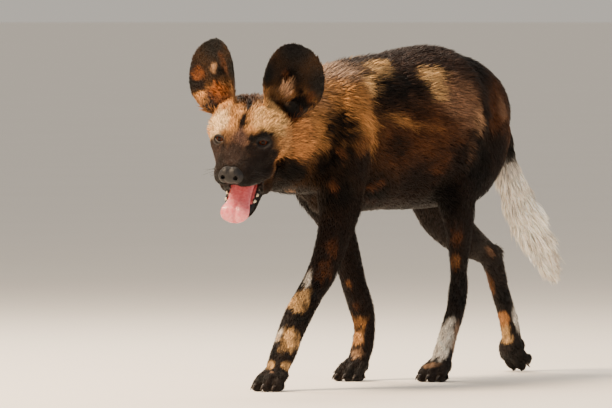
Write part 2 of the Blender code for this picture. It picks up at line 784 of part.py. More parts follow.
TONGUE = [
    (-0.040, 0.000, -0.060, 0.018, 0.006),
    (-0.010, 0.000, -0.060, 0.0185, 0.006),
    (0.020, 0.000, -0.0590, 0.0190, 0.006),
    (0.044, 0.000, -0.0575, 0.0200, 0.0055),
    (0.060, 0.000, -0.0555, 0.0235, 0.005),
    (0.070, -0.001, -0.0565, 0.0260, 0.0045),
    (0.078, -0.002, -0.0615, 0.0250, 0.004),
    (0.082, -0.002, -0.0680, 0.0190, 0.0035),
    (0.083, -0.002, -0.0730, 0.0080, 0.0025),
]
TRAY = [
    (-0.060, 0.000, -0.052, 0.026, 0.010, 0),
    (-0.020, 0.000, -0.056, 0.026, 0.010, 0),
    (0.020, 0.000, -0.059, 0.0215, 0.0075, 0),
    (0.046, 0.000, -0.060, 0.0185, 0.0065, 0),
    (0.062, 0.000, -0.058, 0.0110, 0.0040, 0),
]
TOOTH_ROW = (-0.004, 0.038)
TEETH_PER_SIDE = 4


def carve_mouth(jaw):
    """Hollows the lower jaw between its lips and sets the cheek teeth on its rims."""
    place = jaw_matrix()
    bm = bmesh.new()
    add_tube(bm, TRAY, place=place, sides=10, spans=2)
    bmesh.ops.recalc_face_normals(bm, faces=bm.faces)
    combine(jaw, "DIFFERENCE", make_object("tray", bm))
    teeth = []
    start, end = TOOTH_ROW
    for side in (-1, 1):
        for k in range(TEETH_PER_SIDE):
            x = start + (end - start) * k / (TEETH_PER_SIDE - 1)
            y = side * (0.0285 - 0.0045 * k / (TEETH_PER_SIDE - 1))
            height = 0.0036 - 0.0004 * k
            bm = bmesh.new()
            crown = Matrix.Translation((x, y, -0.064 + height / 2 + 0.0025))
            bmesh.ops.create_cone(
                bm, cap_ends=True, segments=6, radius1=0.0040, radius2=0.0010, depth=height + 0.006,
                matrix=place @ crown @ Matrix.Diagonal((1.1, 0.6, 1, 1)),
            )
            bmesh.ops.recalc_face_normals(bm, faces=bm.faces)
            teeth.append(make_object("tooth", bm))
    combine(jaw, "UNION", *teeth)


def make_tongue(head, jaw):
    """The tongue, lying on the lower jaw and hanging over the lower lip."""
    bm = bmesh.new()
    stations = [(*row, 0) for row in TONGUE]
    add_tube(bm, stations, place=jaw_matrix(), squareness=2.6, sides=12, spans=2)
    bmesh.ops.recalc_face_normals(bm, faces=bm.faces)
    tongue = make_object("tongue", bm)
    combine(tongue, "DIFFERENCE", grown(head))
    combine(tongue, "DIFFERENCE", grown(jaw))
    return tongue


# The side of each leg, and the outline of x and z within which it is parted from the body.
LEG_OUTLINES = {
    "foreleg_left": (
        1,
        [(-0.205, 0.35), (-0.055, 0.35), (0.13, 0.02), (0.13, -0.02), (-0.09, -0.02), (-0.205, 0.22)],
    ),
    "foreleg_right": (
        -1,
        [(-0.30, 0.35), (-0.15, 0.35), (-0.25, -0.02), (-0.43, -0.02), (-0.43, 0.12)],
    ),
    "hindleg_left": (
        1,
        [(-0.64, 0.475), (-0.50, 0.475), (-0.325, 0.37), (-0.325, -0.02), (-0.52, -0.02), (-0.70, 0.42)],
    ),
    "hindleg_right": (
        -1,
        [
            (-0.64, 0.475), (-0.50, 0.475), (-0.43, 0.40), (-0.47, 0.22),
            (-0.69, -0.02), (-0.86, -0.02), (-0.86, 0.22), (-0.70, 0.42),
        ],
    ),
}
LEG_INNER = 0.030
LEG_OUTER = 0.30
WRISTS = {
    "foreleg_left": ("forepaw_left", (0.014, 0, 0.082), (-0.44, 0, 0.90)),
    "foreleg_right": ("forepaw_right", (-0.352, 0, 0.082), (-0.10, 0, 0.99)),
    "hindleg_left": ("hindpaw_left", (-0.435, 0, 0.082), (-0.42, 0, 0.91)),
    "hindleg_right": ("hindpaw_right", (-0.768, 0, 0.108), (0.38, 0, 0.92)),
}
NECK_FRONT = ((0.052, 0.036, 0.452), (0.88, 0.34, -0.30))
NECK_BACK = ((-0.135, 0, 0.460), (0.89, 0.0, 0.46))


def split(source, point, normal, front_name, back_name):
    """Parts an object at a plane into a front and a back piece with the usual gap."""
    point, normal = Vector(point), Vector(normal).normalized()
    front = copy_of(source, front_name)
    back = copy_of(source, back_name)
    combine(front, "INTERSECT", half_space(point + normal * GAP / 2, normal))
    combine(back, "INTERSECT", half_space(point - normal * GAP / 2, -normal))
    return front, back


def flatten_soles(obj):
    """Cuts the soles off level at the floor."""
    return combine(obj, "INTERSECT", half_space((0, 0, 0), (0, 0, 1)))


def make_body():
    """The whole flesh but the head's details, as one skin."""
    bm = bmesh.new()
    add_trunk(bm)
    add_neck(bm)
    add_skull(bm)
    add_legs(bm)
    add_tail(bm)
    return melt(bm, "body", BODY_VOXEL, 12, body_softness)


def make_head_and_jaw():
    """The head at its finer voxel, as a skull piece and a jaw piece."""
    bm = bmesh.new()
    add_neck(bm)
    add_skull(bm)
    add_jaw(bm)
    whole = melt(bm, "head_whole", HEAD_VOXEL, 5)
    thin_out(whole, HEAD_TRIANGLES)
    point, normal = NECK_FRONT
    step = Vector(normal).normalized() * GAP / 2
    combine(whole, "INTERSECT", half_space(Vector(point) + step, normal))
    place = head_matrix()
    along = MOUTH_CORNER - JAW_HINGE
    cut_normal = place.to_3x3() @ Vector((-along.z, 0, along.x))
    skull, jaw = split(whole, place @ MOUTH_CORNER, cut_normal, "head", "lower_jaw")
    remove(whole)
    return skull, jaw


def paint(obj, colour, roughness):
    """Gives a part its plain material."""
    material = bpy.data.materials.new(obj.name)
    material.use_nodes = True
    shader = material.node_tree.nodes["Principled BSDF"]
    shader.inputs["Base Color"].default_value = (*colour, 1)
    shader.inputs["Roughness"].default_value = roughness
    obj.data.materials.clear()
    obj.data.materials.append(material)


COAT = (0.045, 0.026, 0.018)
OCHRE = (0.30, 0.16, 0.07)
CREAM = (0.62, 0.50, 0.36)
LOOKS = {
    "torso": (COAT, 0.80),
    "neck": (OCHRE, 0.80),
    "head": (OCHRE, 0.75),
    "lower_jaw": (COAT, 0.70),
    "tongue": ((0.72, 0.26, 0.24), 0.35),
    "nose": ((0.012, 0.011, 0.012), 0.35),
    "eye": ((0.035, 0.016, 0.008), 0.08),
    "ear": ((0.030, 0.020, 0.016), 0.75),
    "tail": (CREAM, 0.80),
    "foreleg": (COAT, 0.75),
    "hindleg": (COAT, 0.75),
    "forepaw": (COAT, 0.75),
    "hindpaw": (COAT, 0.75),
}


def shade(parts):
    """Gives each part its material and smooth shading."""
    for part in parts:
        kind = part.name if part.name in LOOKS else part.name.split("_")[0]
        colour, roughness = LOOKS[kind]
        paint(part, colour, roughness)
        for face in part.data.polygons:
            face.use_smooth = True


def stand_at_origin(parts):
    """Moves all parts so that the middle of the whole's footprint is the origin."""
    corners = [v.co for part in parts for v in part.data.vertices]
    low = Vector([min(c[k] for c in corners) for k in range(3)])
    high = Vector([max(c[k] for c in corners) for k in range(3)])
    for part in parts:
        part.location = Vector(((low.x + high.x) / -2, (low.y + high.y) / -2, -low.z))


def main():
    """Builds every node."""
    clear_scene()
    body = make_body()
    thin_out(body, BODY_TRIANGLES)
    parts = []
    rest = copy_of(body, "rest")
    for name, (side, outline) in LEG_OUTLINES.items():
        near, far = side * LEG_INNER, side * LEG_OUTER
        leg = copy_of(body, name)
        combine(leg, "INTERSECT", side_prism(outline, near, far))
        combine(rest, "DIFFERENCE", side_prism(outline, near, far, GAP))
        paw_name, point, normal = WRISTS[name]
        normal = Vector(normal).normalized()
        combine(leg, "INTERSECT", half_space(Vector(point) + normal * GAP / 2, normal))
        parts += [leg, make_paw(paw_name, point, normal)]
    front, behind = split(rest, *NECK_BACK, "front", "behind")
    tail, torso = split(behind, *TAIL_CUT, "tail", "torso")
    brush(tail)
    cap, neck = split(front, *NECK_FRONT, "cap", "neck")
    remove(body, rest, front, behind, cap)
    head, jaw = make_head_and_jaw()
    nose = make_nose(head)
    carve_mouth(jaw)
    tongue = make_tongue(head, jaw)
    for side, name in ((1, "left"), (-1, "right")):
        ear = make_ear(side, "ear_" + name)
        combine(ear, "DIFFERENCE", grown(head))
        combine(ear, "DIFFERENCE", grown(neck))
        add_lids(head, side)
        parts += [ear, make_eye(side, "eye_" + name)]
    parts += [torso, tail, neck, head, jaw, nose, tongue]
    shade(parts)
    stand_at_origin(parts)


main()
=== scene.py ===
"""The dressed African wild dog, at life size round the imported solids.

The flesh of the solids becomes one skin, which is sunk by the depth of the coat. Tufts of hair, made
as solid meshes, grow from it and lie along the body. Skin and tufts take their colours from one set
of named markings. The eyes, lids, nose, tongue, teeth, claws and whiskers are pieces of their own.
"""

import logging
import math
import random
from dataclasses import dataclass
from enum import Enum
from typing import Any, Optional

import bmesh
import bpy
import numpy as np
from mathutils import Matrix, Vector
from mathutils.bvhtree import BVHTree


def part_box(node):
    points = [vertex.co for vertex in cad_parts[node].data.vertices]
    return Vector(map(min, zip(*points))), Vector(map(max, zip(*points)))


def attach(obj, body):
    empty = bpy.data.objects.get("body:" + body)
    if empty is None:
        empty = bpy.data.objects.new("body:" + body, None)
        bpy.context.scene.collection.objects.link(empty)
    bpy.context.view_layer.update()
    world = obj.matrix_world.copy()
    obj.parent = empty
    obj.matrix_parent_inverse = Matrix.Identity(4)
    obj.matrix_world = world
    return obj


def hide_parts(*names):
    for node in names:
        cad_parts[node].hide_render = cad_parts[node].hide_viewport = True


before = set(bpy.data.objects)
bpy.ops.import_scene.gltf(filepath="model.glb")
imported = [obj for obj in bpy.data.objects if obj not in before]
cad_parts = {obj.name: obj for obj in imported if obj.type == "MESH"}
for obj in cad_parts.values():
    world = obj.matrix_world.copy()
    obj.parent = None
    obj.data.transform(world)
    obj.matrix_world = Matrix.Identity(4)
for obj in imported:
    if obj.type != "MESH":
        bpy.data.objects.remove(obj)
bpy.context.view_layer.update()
LOG = logging.getLogger("wild_dog")

# The stance of the head, in the dog's own frame.
HEAD_PLACE = Vector((0.133, 0.070, 0.438))
HEAD_TURN = (25.0, 20.0, -5.0)
JAW_HINGE = Vector((-0.055, 0.0, -0.045))
JAW_OPENING = 27.5
EYE_SPREAD = 0.0353
EYE_RADIUS = 0.0115

# The left ear (1) and the right ear (-1): how far each root stands out, and its lean in degrees.
EAR_SEAT = {1: 0.050, -1: 0.042}
EAR_LEAN = {1: 13, -1: 21}

# The middle of the tail under its hair: x, y, z and radius.
TAIL_PATH = [
    (-0.640, 0.0, 0.492, 0.021),
    (-0.660, 0.0, 0.468, 0.018),
    (-0.676, 0.0, 0.420, 0.014),
    (-0.688, 0.0, 0.372, 0.014),
    (-0.711, 0.0, 0.325, 0.014),
    (-0.746, 0.0, 0.275, 0.012),
    (-0.779, 0.0, 0.230, 0.009),
    (-0.803, 0.0, 0.195, 0.005),
    (-0.813, 0.0, 0.183, 0.003),
]
# The middle of each leg, from the trunk to the toes.
LEG_PATHS = {
    "foreleg_left": [
        (-0.146, 0.065, 0.420),
        (-0.122, 0.075, 0.316),
        (-0.105, 0.076, 0.266),
        (-0.076, 0.075, 0.206),
        (-0.045, 0.073, 0.168),
        (-0.018, 0.071, 0.135),
        (0.004, 0.070, 0.101),
        (0.020, 0.068, 0.068),
        (0.040, 0.068, 0.040),
        (0.068, 0.068, 0.018),
    ],
    "foreleg_right": [
        (-0.198, -0.062, 0.420),
        (-0.262, -0.066, 0.315),
        (-0.290, -0.063, 0.262),
        (-0.314, -0.062, 0.205),
        (-0.343, -0.060, 0.134),
        (-0.354, -0.060, 0.100),
        (-0.350, -0.060, 0.066),
        (-0.336, -0.060, 0.040),
        (-0.306, -0.060, 0.018),
    ],
    "hindleg_left": [
        (-0.482, 0.072, 0.392),
        (-0.440, 0.082, 0.338),
        (-0.442, 0.084, 0.292),
        (-0.449, 0.080, 0.240),
        (-0.455, 0.074, 0.190),
        (-0.458, 0.070, 0.158),
        (-0.452, 0.068, 0.122),
        (-0.434, 0.066, 0.080),
        (-0.414, 0.066, 0.040),
        (-0.386, 0.066, 0.018),
    ],
    "hindleg_right": [
        (-0.552, -0.072, 0.390),
        (-0.572, -0.080, 0.330),
        (-0.600, -0.080, 0.288),
        (-0.654, -0.075, 0.248),
        (-0.712, -0.072, 0.220),
        (-0.738, -0.070, 0.190),
        (-0.750, -0.068, 0.150),
        (-0.772, -0.066, 0.098),
        (-0.784, -0.066, 0.050),
        (-0.794, -0.066, 0.010),
    ],
}
# Where each paw stands, and its dip in degrees.
PAWS = {
    "forepaw_left": ((0.046, 0.068, -0.001), 0.0),
    "forepaw_right": ((-0.328, -0.060, -0.001), 0.0),
    "hindpaw_left": ((-0.408, 0.066, -0.001), 0.0),
    "hindpaw_right": ((-0.808, -0.066, 0.0445), 94.0),
}
PAW_SIZE = 0.87

# The inner and the outer toe's tip, on one half of a paw.
TOE_TIPS = ((0.040, 0.0108, 0.014), (0.026, 0.0272, 0.013))


class Tone(Enum):
    """The colours of the coat and the bare skin, as sRGB."""

    BLACK = "#0b0806"
    SOOT = "#1a110d"
    # SLATE is partly painted sheen along the top of the back and the muzzle, and partly the hair's own dark
    # grey-brown.
    SLATE = "#33251f"
    UMBER = "#4a2c18"
    RUST = "#6b4526"
    AMBER = "#74421f"
    APRICOT = "#bd8049"
    OCHRE = "#a0703f"
    TAN = "#c68f58"
    CREAM = "#d9ac72"
    FAWN = "#a88262"
    TAUPE = "#7a5a44"
    ASH = "#a0826a"
    # DUSK, the grey-brown on top of the muzzle, is partly painted sheen over dark hair.
    DUSK = "#5c453c"
    WHITE = "#fbf2e4"
    GUM = "#c4686a"
    STRAW = "#ecc796"


def linear(tone: str) -> np.ndarray:
    """Turns an sRGB hex value into linear red, green and blue.

    Args:
        tone: The colour as "#rrggbb".

    Returns:
        Three linear values from 0 to 1.
    """
    parts = np.array([int(tone[i : i + 2], 16) / 255 for i in (1, 3, 5)])
    return np.where(parts <= 0.04045, parts / 12.92, ((parts + 0.055) / 1.055) ** 2.4)


def add_node(tree: Any, kind: str, inputs: Optional[dict] = None, **settings: Any) -> Any:
    """Adds a node to a tree.

    Args:
        tree: The node tree.
        kind: The node's type.
        inputs: A value or a linked output for each input, by name or number.
        **settings: The node's own properties.

    Returns:
        The new node.
    """
    node = tree.nodes.new(kind)
    for key, value in settings.items():
        setattr(node, key, value)
    for key, value in (inputs or {}).items():
        if isinstance(value, bpy.types.NodeSocket):
            tree.links.new(value, node.inputs[key])
        else:
            node.inputs[key].default_value = value
    return node


def turned(degrees: float, axis: str) -> Matrix:
    """A turn about one axis, as a 4 by 4 matrix."""
    return Matrix.Rotation(math.radians(degrees), 4, axis)


class Place(Enum):
    """The part of the dog in whose own axes a guide or a marking is given."""

    BODY = "body"
    HEAD = "head"
    JAW = "jaw"
    EAR_LEFT = "ear_left"
    EAR_RIGHT = "ear_right"


@dataclass(frozen=True)
class Stance:
    """Where the head, jaw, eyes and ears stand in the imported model."""

    shift: Vector

    @classmethod
    def from_solids(cls) -> "Stance":
        """Finds the shift from the dog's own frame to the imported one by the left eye."""
        low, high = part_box("eye_left")
        return cls((low + high) / 2 - cls(Vector((0, 0, 0))).eye(1).to_translation())

    def body(self) -> Matrix:
        """The frame of the body."""
        return Matrix.Translation(self.shift)

    def head(self) -> Matrix:
        """The frame of the head, midway between the eyes with +X along the muzzle."""
        yaw, pitch, roll = HEAD_TURN
        turn = turned(yaw, "Z") @ turned(pitch, "Y") @ turned(roll, "X")
        return self.body() @ Matrix.Translation(HEAD_PLACE) @ turn

    def jaw(self) -> Matrix:
        """The frame of the lower jaw, swung open."""
        hinge = Matrix.Translation(JAW_HINGE)
        return self.head() @ hinge @ turned(JAW_OPENING, "Y") @ hinge.inverted()

    def eye(self, side: int) -> Matrix:
        """The frame of one eye, with +X along the gaze."""
        seat = Matrix.Translation((0, side * EYE_SPREAD, 0))
        return self.head() @ seat @ turned(side * 20, "Z") @ turned(-6, "Y")

    def ear(self, side: int) -> Matrix:
        """The frame of one ear, with +Z up the ear, +X out of the cup and +Y to its outer edge."""
        seat = Matrix.Translation((-0.066, side * EAR_SEAT[side], 0.020))
        lean = turned(-side * EAR_LEAN[side], "X") @ turned(-8, "Y") @ turned(side * 24, "Z")
        return self.head() @ seat @ lean @ Matrix.Diagonal((1, side, 1, 1))

    def paw(self, name: str) -> Matrix:
        """The frame of one paw, with +X along the toes."""
        place, dip = PAWS[name]
        return self.body() @ Matrix.Translation(place) @ turned(dip, "Y") @ Matrix.Scale(PAW_SIZE, 4)

    def frame(self, place: Place) -> Matrix:
        """The frame that belongs to a named part."""
        made = {
            Place.BODY: self.body,
            Place.HEAD: self.head,
            Place.JAW: self.jaw,
            Place.EAR_LEFT: lambda: self.ear(1),
            Place.EAR_RIGHT: lambda: self.ear(-1),
        }
        return made[place]()


def smooth_step(low: float, high: float, values: np.ndarray) -> np.ndarray:
    """A soft step from 0 at the low value to 1 at the high one."""
    share = np.clip((values - low) / (high - low), 0, 1)
    return share * share * (3 - 2 * share)


NOISE_STEPS = np.array([73856093, 19349663, 83492791])


def mottle(points: np.ndarray, cell: float, seed: int) -> np.ndarray:
    """Smooth noise over space.

    Args:
        points: Places, one a row.
        cell: The size of a blob in metres.
        seed: The number that picks one pattern.

    Returns:
        A value from -1 to 1 for each point.
    """
    scaled = points / cell
    base = np.floor(scaled).astype(np.int64)
    part = scaled - base
    part = part * part * (3 - 2 * part)
    total = np.zeros(len(points))
    for corner in range(8):
        offset = np.array([corner & 1, corner >> 1 & 1, corner >> 2 & 1])
        key = (base + offset) @ NOISE_STEPS + seed * 7919
        key = (key ^ (key >> 13)) * 1274126177
        key = ((key ^ (key >> 16)) & 0xFFFF) / 0xFFFF
        total += key * np.prod(np.where(offset, part, 1 - part), axis=1)
    return total * 2 - 1


def moved(matrix: Matrix, points: np.ndarray) -> np.ndarray:
    """Rows of points taken through a matrix."""
    table = np.array(matrix)
    return points @ table[:3, :3].T + table[:3, 3]


@dataclass(frozen=True)
class Guide:
    """How the hair grows at one spot.

    The place and the lie are in the named part's frame. The length is in millimetres and the rise,
    by which the hair stands off the skin, in degrees.
    """

    place: Place
    spot: tuple[float, float, float]
    lie: tuple[float, float, float]
    length: float
    rise: float
    tone: Tone
    paired: bool = False


BODY_GUIDES = [
    (-0.16, 0.00, 0.560, -1.0, 0.0, 0.0, 30, 24, Tone.ASH),
    # Partly painted sheen: SLATE along the top of the back is dark hair lightened by a sheen.
    (-0.22, 0.00, 0.572, -1.0, 0.0, 0.0, 32, 25, Tone.SLATE),
    (-0.30, 0.00, 0.580, -1.0, 0.0, 0.0, 29, 22, Tone.SLATE),
    (-0.42, 0.00, 0.592, -1.0, 0.0, 0.0, 26, 19, Tone.SLATE),
    (-0.52, 0.00, 0.588, -1.0, 0.0, -0.2, 22, 16, Tone.SOOT),
    (-0.60, 0.00, 0.555, -0.8, 0.0, -0.6, 20, 15, Tone.SOOT),
    (-0.655, 0.00, 0.500, -0.4, 0.0, -1.0, 16, 14, Tone.SOOT),
    (-0.20, 0.00, 0.300, -1.0, 0.0, -0.2, 14, 15, Tone.BLACK),
    (-0.35, 0.00, 0.305, -1.0, 0.0, -0.1, 14, 15, Tone.BLACK),
    (-0.47, 0.00, 0.335, -1.0, 0.0, 0.0, 16, 18, Tone.BLACK),
    (-0.06, 0.01, 0.420, 0.2, 0.0, -1.0, 24, 22, Tone.BLACK),
    (-0.08, 0.00, 0.340, -0.3, 0.0, -1.0, 16, 18, Tone.BLACK),
    (-0.10, 0.00, 0.550, -1.0, 0.0, 0.0, 30, 24, Tone.ASH),
    (-0.02, 0.02, 0.525, -1.0, -0.1, 0.0, 26, 22, Tone.ASH),
    (0.03, 0.03, 0.505, -1.0, -0.3, 0.1, 16, 20, Tone.TAUPE),
    (-0.04, 0.095, 0.460, -1.0, 0.2, -0.3, 28, 24, Tone.OCHRE),
    (-0.04, -0.060, 0.460, -1.0, -0.2, -0.3, 28, 24, Tone.OCHRE),
    (-0.06, 0.085, 0.400, -0.7, 0.1, -0.8, 26, 22, Tone.BLACK),
    (-0.06, -0.060, 0.400, -0.7, -0.1, -0.8, 26, 22, Tone.BLACK),
    (0.02, 0.035, 0.365, -0.8, 0.0, -0.5, 14, 20, Tone.BLACK),
    (-0.03, 0.030, 0.345, -0.6, 0.0, -0.8, 22, 22, Tone.BLACK),
]
PAIRED_BODY_GUIDES = [
    (-0.13, 0.090, 0.480, -0.8, 0.1, -0.6, 30, 24, Tone.OCHRE),
    (-0.14, 0.095, 0.400, -0.5, 0.1, -0.9, 20, 20, Tone.SOOT),
    (-0.10, 0.085, 0.350, -0.4, 0.1, -1.0, 18, 20, Tone.BLACK),
    (-0.22, 0.080, 0.520, -1.0, 0.0, -0.35, 32, 25, Tone.SOOT),
    (-0.24, 0.100, 0.440, -1.0, 0.0, -0.4, 26, 22, Tone.UMBER),
    # Partly painted sheen on the upper back.
    (-0.30, 0.070, 0.560, -1.0, 0.0, -0.2, 32, 24, Tone.SLATE),
    (-0.31, 0.110, 0.450, -1.0, 0.0, -0.3, 26, 22, Tone.UMBER),
    (-0.30, 0.095, 0.360, -1.0, 0.0, -0.3, 22, 20, Tone.SOOT),
    (-0.21, 0.075, 0.340, -0.8, 0.0, -0.6, 20, 20, Tone.BLACK),
    # Partly painted sheen on the upper back.
    (-0.40, 0.080, 0.570, -1.0, 0.0, -0.2, 28, 22, Tone.SLATE),
    (-0.41, 0.115, 0.490, -1.0, 0.0, -0.3, 26, 22, Tone.TAUPE),
    (-0.41, 0.115, 0.410, -1.0, 0.0, -0.5, 22, 20, Tone.SOOT),
    (-0.39, 0.090, 0.330, -1.0, 0.0, -0.2, 18, 18, Tone.BLACK),
    (-0.50, 0.070, 0.560, -0.9, 0.0, -0.4, 22, 16, Tone.SOOT),
    (-0.49, 0.105, 0.480, -0.6, 0.0, -0.8, 20, 18, Tone.SOOT),
    (-0.56, 0.085, 0.500, -0.6, 0.0, -0.9, 16, 15, Tone.UMBER),
    (-0.60, 0.065, 0.430, -0.4, 0.0, -1.0, 12, 14, Tone.UMBER),
    (-0.63, 0.030, 0.440, -0.4, 0.0, -1.0, 12, 14, Tone.UMBER),
    (-0.53, 0.100, 0.420, -0.4, 0.0, -1.0, 15, 18, Tone.SOOT),
    (-0.46, 0.110, 0.370, -0.2, 0.0, -1.0, 11, 15, Tone.SOOT),
    (-0.59, 0.050, 0.385, 0.2, 0.0, -1.0, 9, 14, Tone.SOOT),
    (-0.53, 0.085, 0.345, 0.1, 0.0, -1.0, 9, 14, Tone.SOOT),
]
HEAD_GUIDES = [
    (0.072, 0.000, -0.014, -1.0, 0.0, 0.1, 3, 14, Tone.SOOT, False),
    # Partly painted sheen: the SLATE and DUSK along the top of the muzzle.
    (0.045, 0.000, 0.000, -1.0, 0.0, 0.2, 4, 16, Tone.SLATE, False),
    (0.022, 0.000, 0.012, -1.0, 0.0, 0.5, 5, 20, Tone.DUSK, False),
    (0.055, 0.030, -0.030, -1.0, 0.1, -0.1, 4, 14, Tone.SOOT, True),
    (0.078, 0.012, -0.050, -0.8, 0.3, -0.4, 2.5, 12, Tone.BLACK, True),
    (0.050, 0.030, -0.055, -1.0, 0.1, -0.3, 3, 14, Tone.BLACK, True),
    (0.015, 0.044, -0.045, -1.0, 0.1, -0.2, 5, 16, Tone.SOOT, True),
    (0.000, 0.020, 0.024, -0.8, 0.3, 0.6, 8, 24, Tone.TAN, True),
    (-0.015, 0.000, 0.032, -1.0, 0.0, 0.4, 9, 24, Tone.TAN, False),
    (-0.050, 0.000, 0.055, -1.0, 0.0, 0.1, 17, 30, Tone.UMBER, False),
    (-0.045, 0.035, 0.045, -0.8, 0.5, 0.3, 13, 28, Tone.TAN, True),
    (-0.090, 0.000, 0.045, -1.0, 0.0, -0.1, 20, 28, Tone.FAWN, False),
    (-0.020, 0.055, 0.005, -1.0, 0.4, -0.1, 13, 26, Tone.TAN, True),
    (-0.045, 0.068, -0.005, -0.9, 0.5, -0.1, 21, 30, Tone.TAN, True),
    (-0.080, 0.070, -0.010, -0.9, 0.4, -0.2, 26, 32, Tone.APRICOT, True),
    (-0.095, 0.055, 0.020, -0.9, 0.3, 0.1, 22, 26, Tone.APRICOT, True),
    (-0.035, 0.060, -0.035, -0.9, 0.4, -0.3, 18, 32, Tone.APRICOT, True),
    (-0.005, 0.052, -0.032, -1.0, 0.2, -0.3, 8, 20, Tone.SOOT, True),
    (-0.060, 0.055, -0.060, -0.9, 0.2, -0.5, 24, 34, Tone.BLACK, True),
    (0.012, 0.046, 0.000, -0.6, 0.6, 0.1, 3, 14, Tone.SOOT, True),
]
JAW_GUIDES = [
    (0.070, 0.000, -0.078, -0.6, 0.0, -0.5, 2.5, 12, Tone.BLACK, False),
    (0.030, 0.028, -0.072, -1.0, 0.0, -0.1, 3, 12, Tone.BLACK, True),
    (0.030, 0.000, -0.088, -1.0, 0.0, 0.0, 6, 16, Tone.SOOT, False),
    (-0.020, 0.000, -0.086, -1.0, 0.0, 0.0, 9, 18, Tone.BLACK, False),
    (-0.030, 0.038, -0.070, -1.0, 0.0, -0.2, 8, 18, Tone.BLACK, True),
]
EAR_GUIDES = [
    (0.000, 0.000, 0.000, 0.0, 0.0, 1.0, 9, 22, Tone.UMBER),
    (0.000, -0.030, 0.020, 0.1, -0.1, 1.0, 7, 20, Tone.SOOT),
    (-0.010, 0.000, 0.065, 0.0, 0.0, 1.0, 4, 14, Tone.BLACK),
    (-0.020, 0.000, 0.120, 0.0, 0.0, 1.0, 3, 12, Tone.BLACK),
    (0.000, -0.045, 0.070, 0.1, -0.3, 1.0, 3.5, 14, Tone.BLACK),
    (0.000, 0.055, 0.070, 0.1, 0.5, 0.9, 3.5, 14, Tone.BLACK),
]

# The share of the guides' rise at which the hair stands.
FLATNESS = 0.68

# Hair along the tail and along each leg, at the stations of their paths, in millimetres and degrees.
TAIL_LENGTHS = (14, 16, 20, 44, 58, 58, 48, 36, 30)
TAIL_RISES = (9, 9, 10, 20, 22, 21, 18, 15, 12)
LEG_LENGTHS = (16, 12, 10, 9, 8, 8, 7, 6, 5, 4)
LEG_RISE = 14
BLACK_TAIL_STATIONS = 3


@dataclass(frozen=True)
class Groom:
    """The lie, length, rise and ground colour of the hair over the whole dog."""

    stance: Stance
    blur: float = 0.006
    rows_at_once: int = 20000

    def guides(self) -> list[Guide]:
        """Every guide, from the tables and along the tail and legs."""
        made = [Guide(Place.BODY, row[:3], row[3:6], *row[6:]) for row in BODY_GUIDES]
        made += [Guide(Place.BODY, row[:3], row[3:6], *row[6:], True) for row in PAIRED_BODY_GUIDES]
        made += [Guide(Place.HEAD, row[:3], row[3:6], *row[6:]) for row in HEAD_GUIDES]
        made += [Guide(Place.JAW, row[:3], row[3:6], *row[6:]) for row in JAW_GUIDES]
        for ear in (Place.EAR_LEFT, Place.EAR_RIGHT):
            made += [Guide(ear, row[:3], row[3:6], *row[6:]) for row in EAR_GUIDES]
        for path in LEG_PATHS.values():
            for k, spot in enumerate(path):
                lie = np.gradient(np.array(path), axis=0)[k]
                made.append(Guide(Place.BODY, spot, tuple(lie), LEG_LENGTHS[k], LEG_RISE, Tone.SOOT))
        tail = np.array(TAIL_PATH)
        for k, lie in enumerate(np.gradient(tail[:, :3], axis=0)):
            tone = Tone.BLACK if k < BLACK_TAIL_STATIONS else Tone.WHITE
            spot = tuple(tail[k, :3])
            made.append(Guide(Place.BODY, spot, tuple(lie), TAIL_LENGTHS[k], TAIL_RISES[k], tone))
        return made

    def comb(self, points: np.ndarray) -> dict[str, np.ndarray]:
        """Blends the nearest guides at every point.

        Args:
            points: Places on the skin, one a row.

        Returns:
            The lie, length, rise and ground colour at each point.
        """
        rows = []
        for guide in self.guides():
            for side in (1, -1) if guide.paired else (1,):
                flip = np.array([1, side, 1])
                table = np.array(self.stance.frame(guide.place))
                spot = table[:3, :3] @ (np.array(guide.spot) * flip) + table[:3, 3]
                lie = table[:3, :3] @ (np.array(guide.lie) * flip)
                lie /= np.linalg.norm(lie)
                colour = linear(guide.tone.value)
                rise = math.radians(guide.rise) * FLATNESS
                rows.append([*spot, *lie, guide.length / 1000, rise, *colour])
        rows = np.array(rows)
        blend = np.zeros((len(points), 8))
        for start in range(0, len(points), self.rows_at_once):
            part = points[start : start + self.rows_at_once]
            apart = ((part[:, None, :] - rows[None, :, :3]) ** 2).sum(axis=2)
            weight = 1 / (apart + self.blur**2) ** 2
            blend[start : start + self.rows_at_once] = weight @ rows[:, 3:] / weight.sum(axis=1)[:, None]
        lie = blend[:, :3] / np.maximum(np.linalg.norm(blend[:, :3], axis=1), 1e-6)[:, None]
        return {"lie": lie, "length": blend[:, 3], "rise": blend[:, 4], "colour": blend[:, 5:8]}


# The patches are measured across and up a plane that faces the dog's front left.
ACROSS = np.array([-0.6428, 0.7660, 0.0])
UPWARD = np.array([-0.0200, -0.0168, 0.9997])
OUTWARD = np.array([0.7658, 0.6426, 0.0262])

# How deep a marking reaches into the dog at the least, in millimetres, and how soft its edge is.
LEAST_DEPTH = 25.0
SOFT_EDGE = (0.72, 1.28)


class Twin(Enum):
    """Whether a marking also stands on the other side of the dog."""

    NONE = 0
    BODY = 1
    HEAD = 2


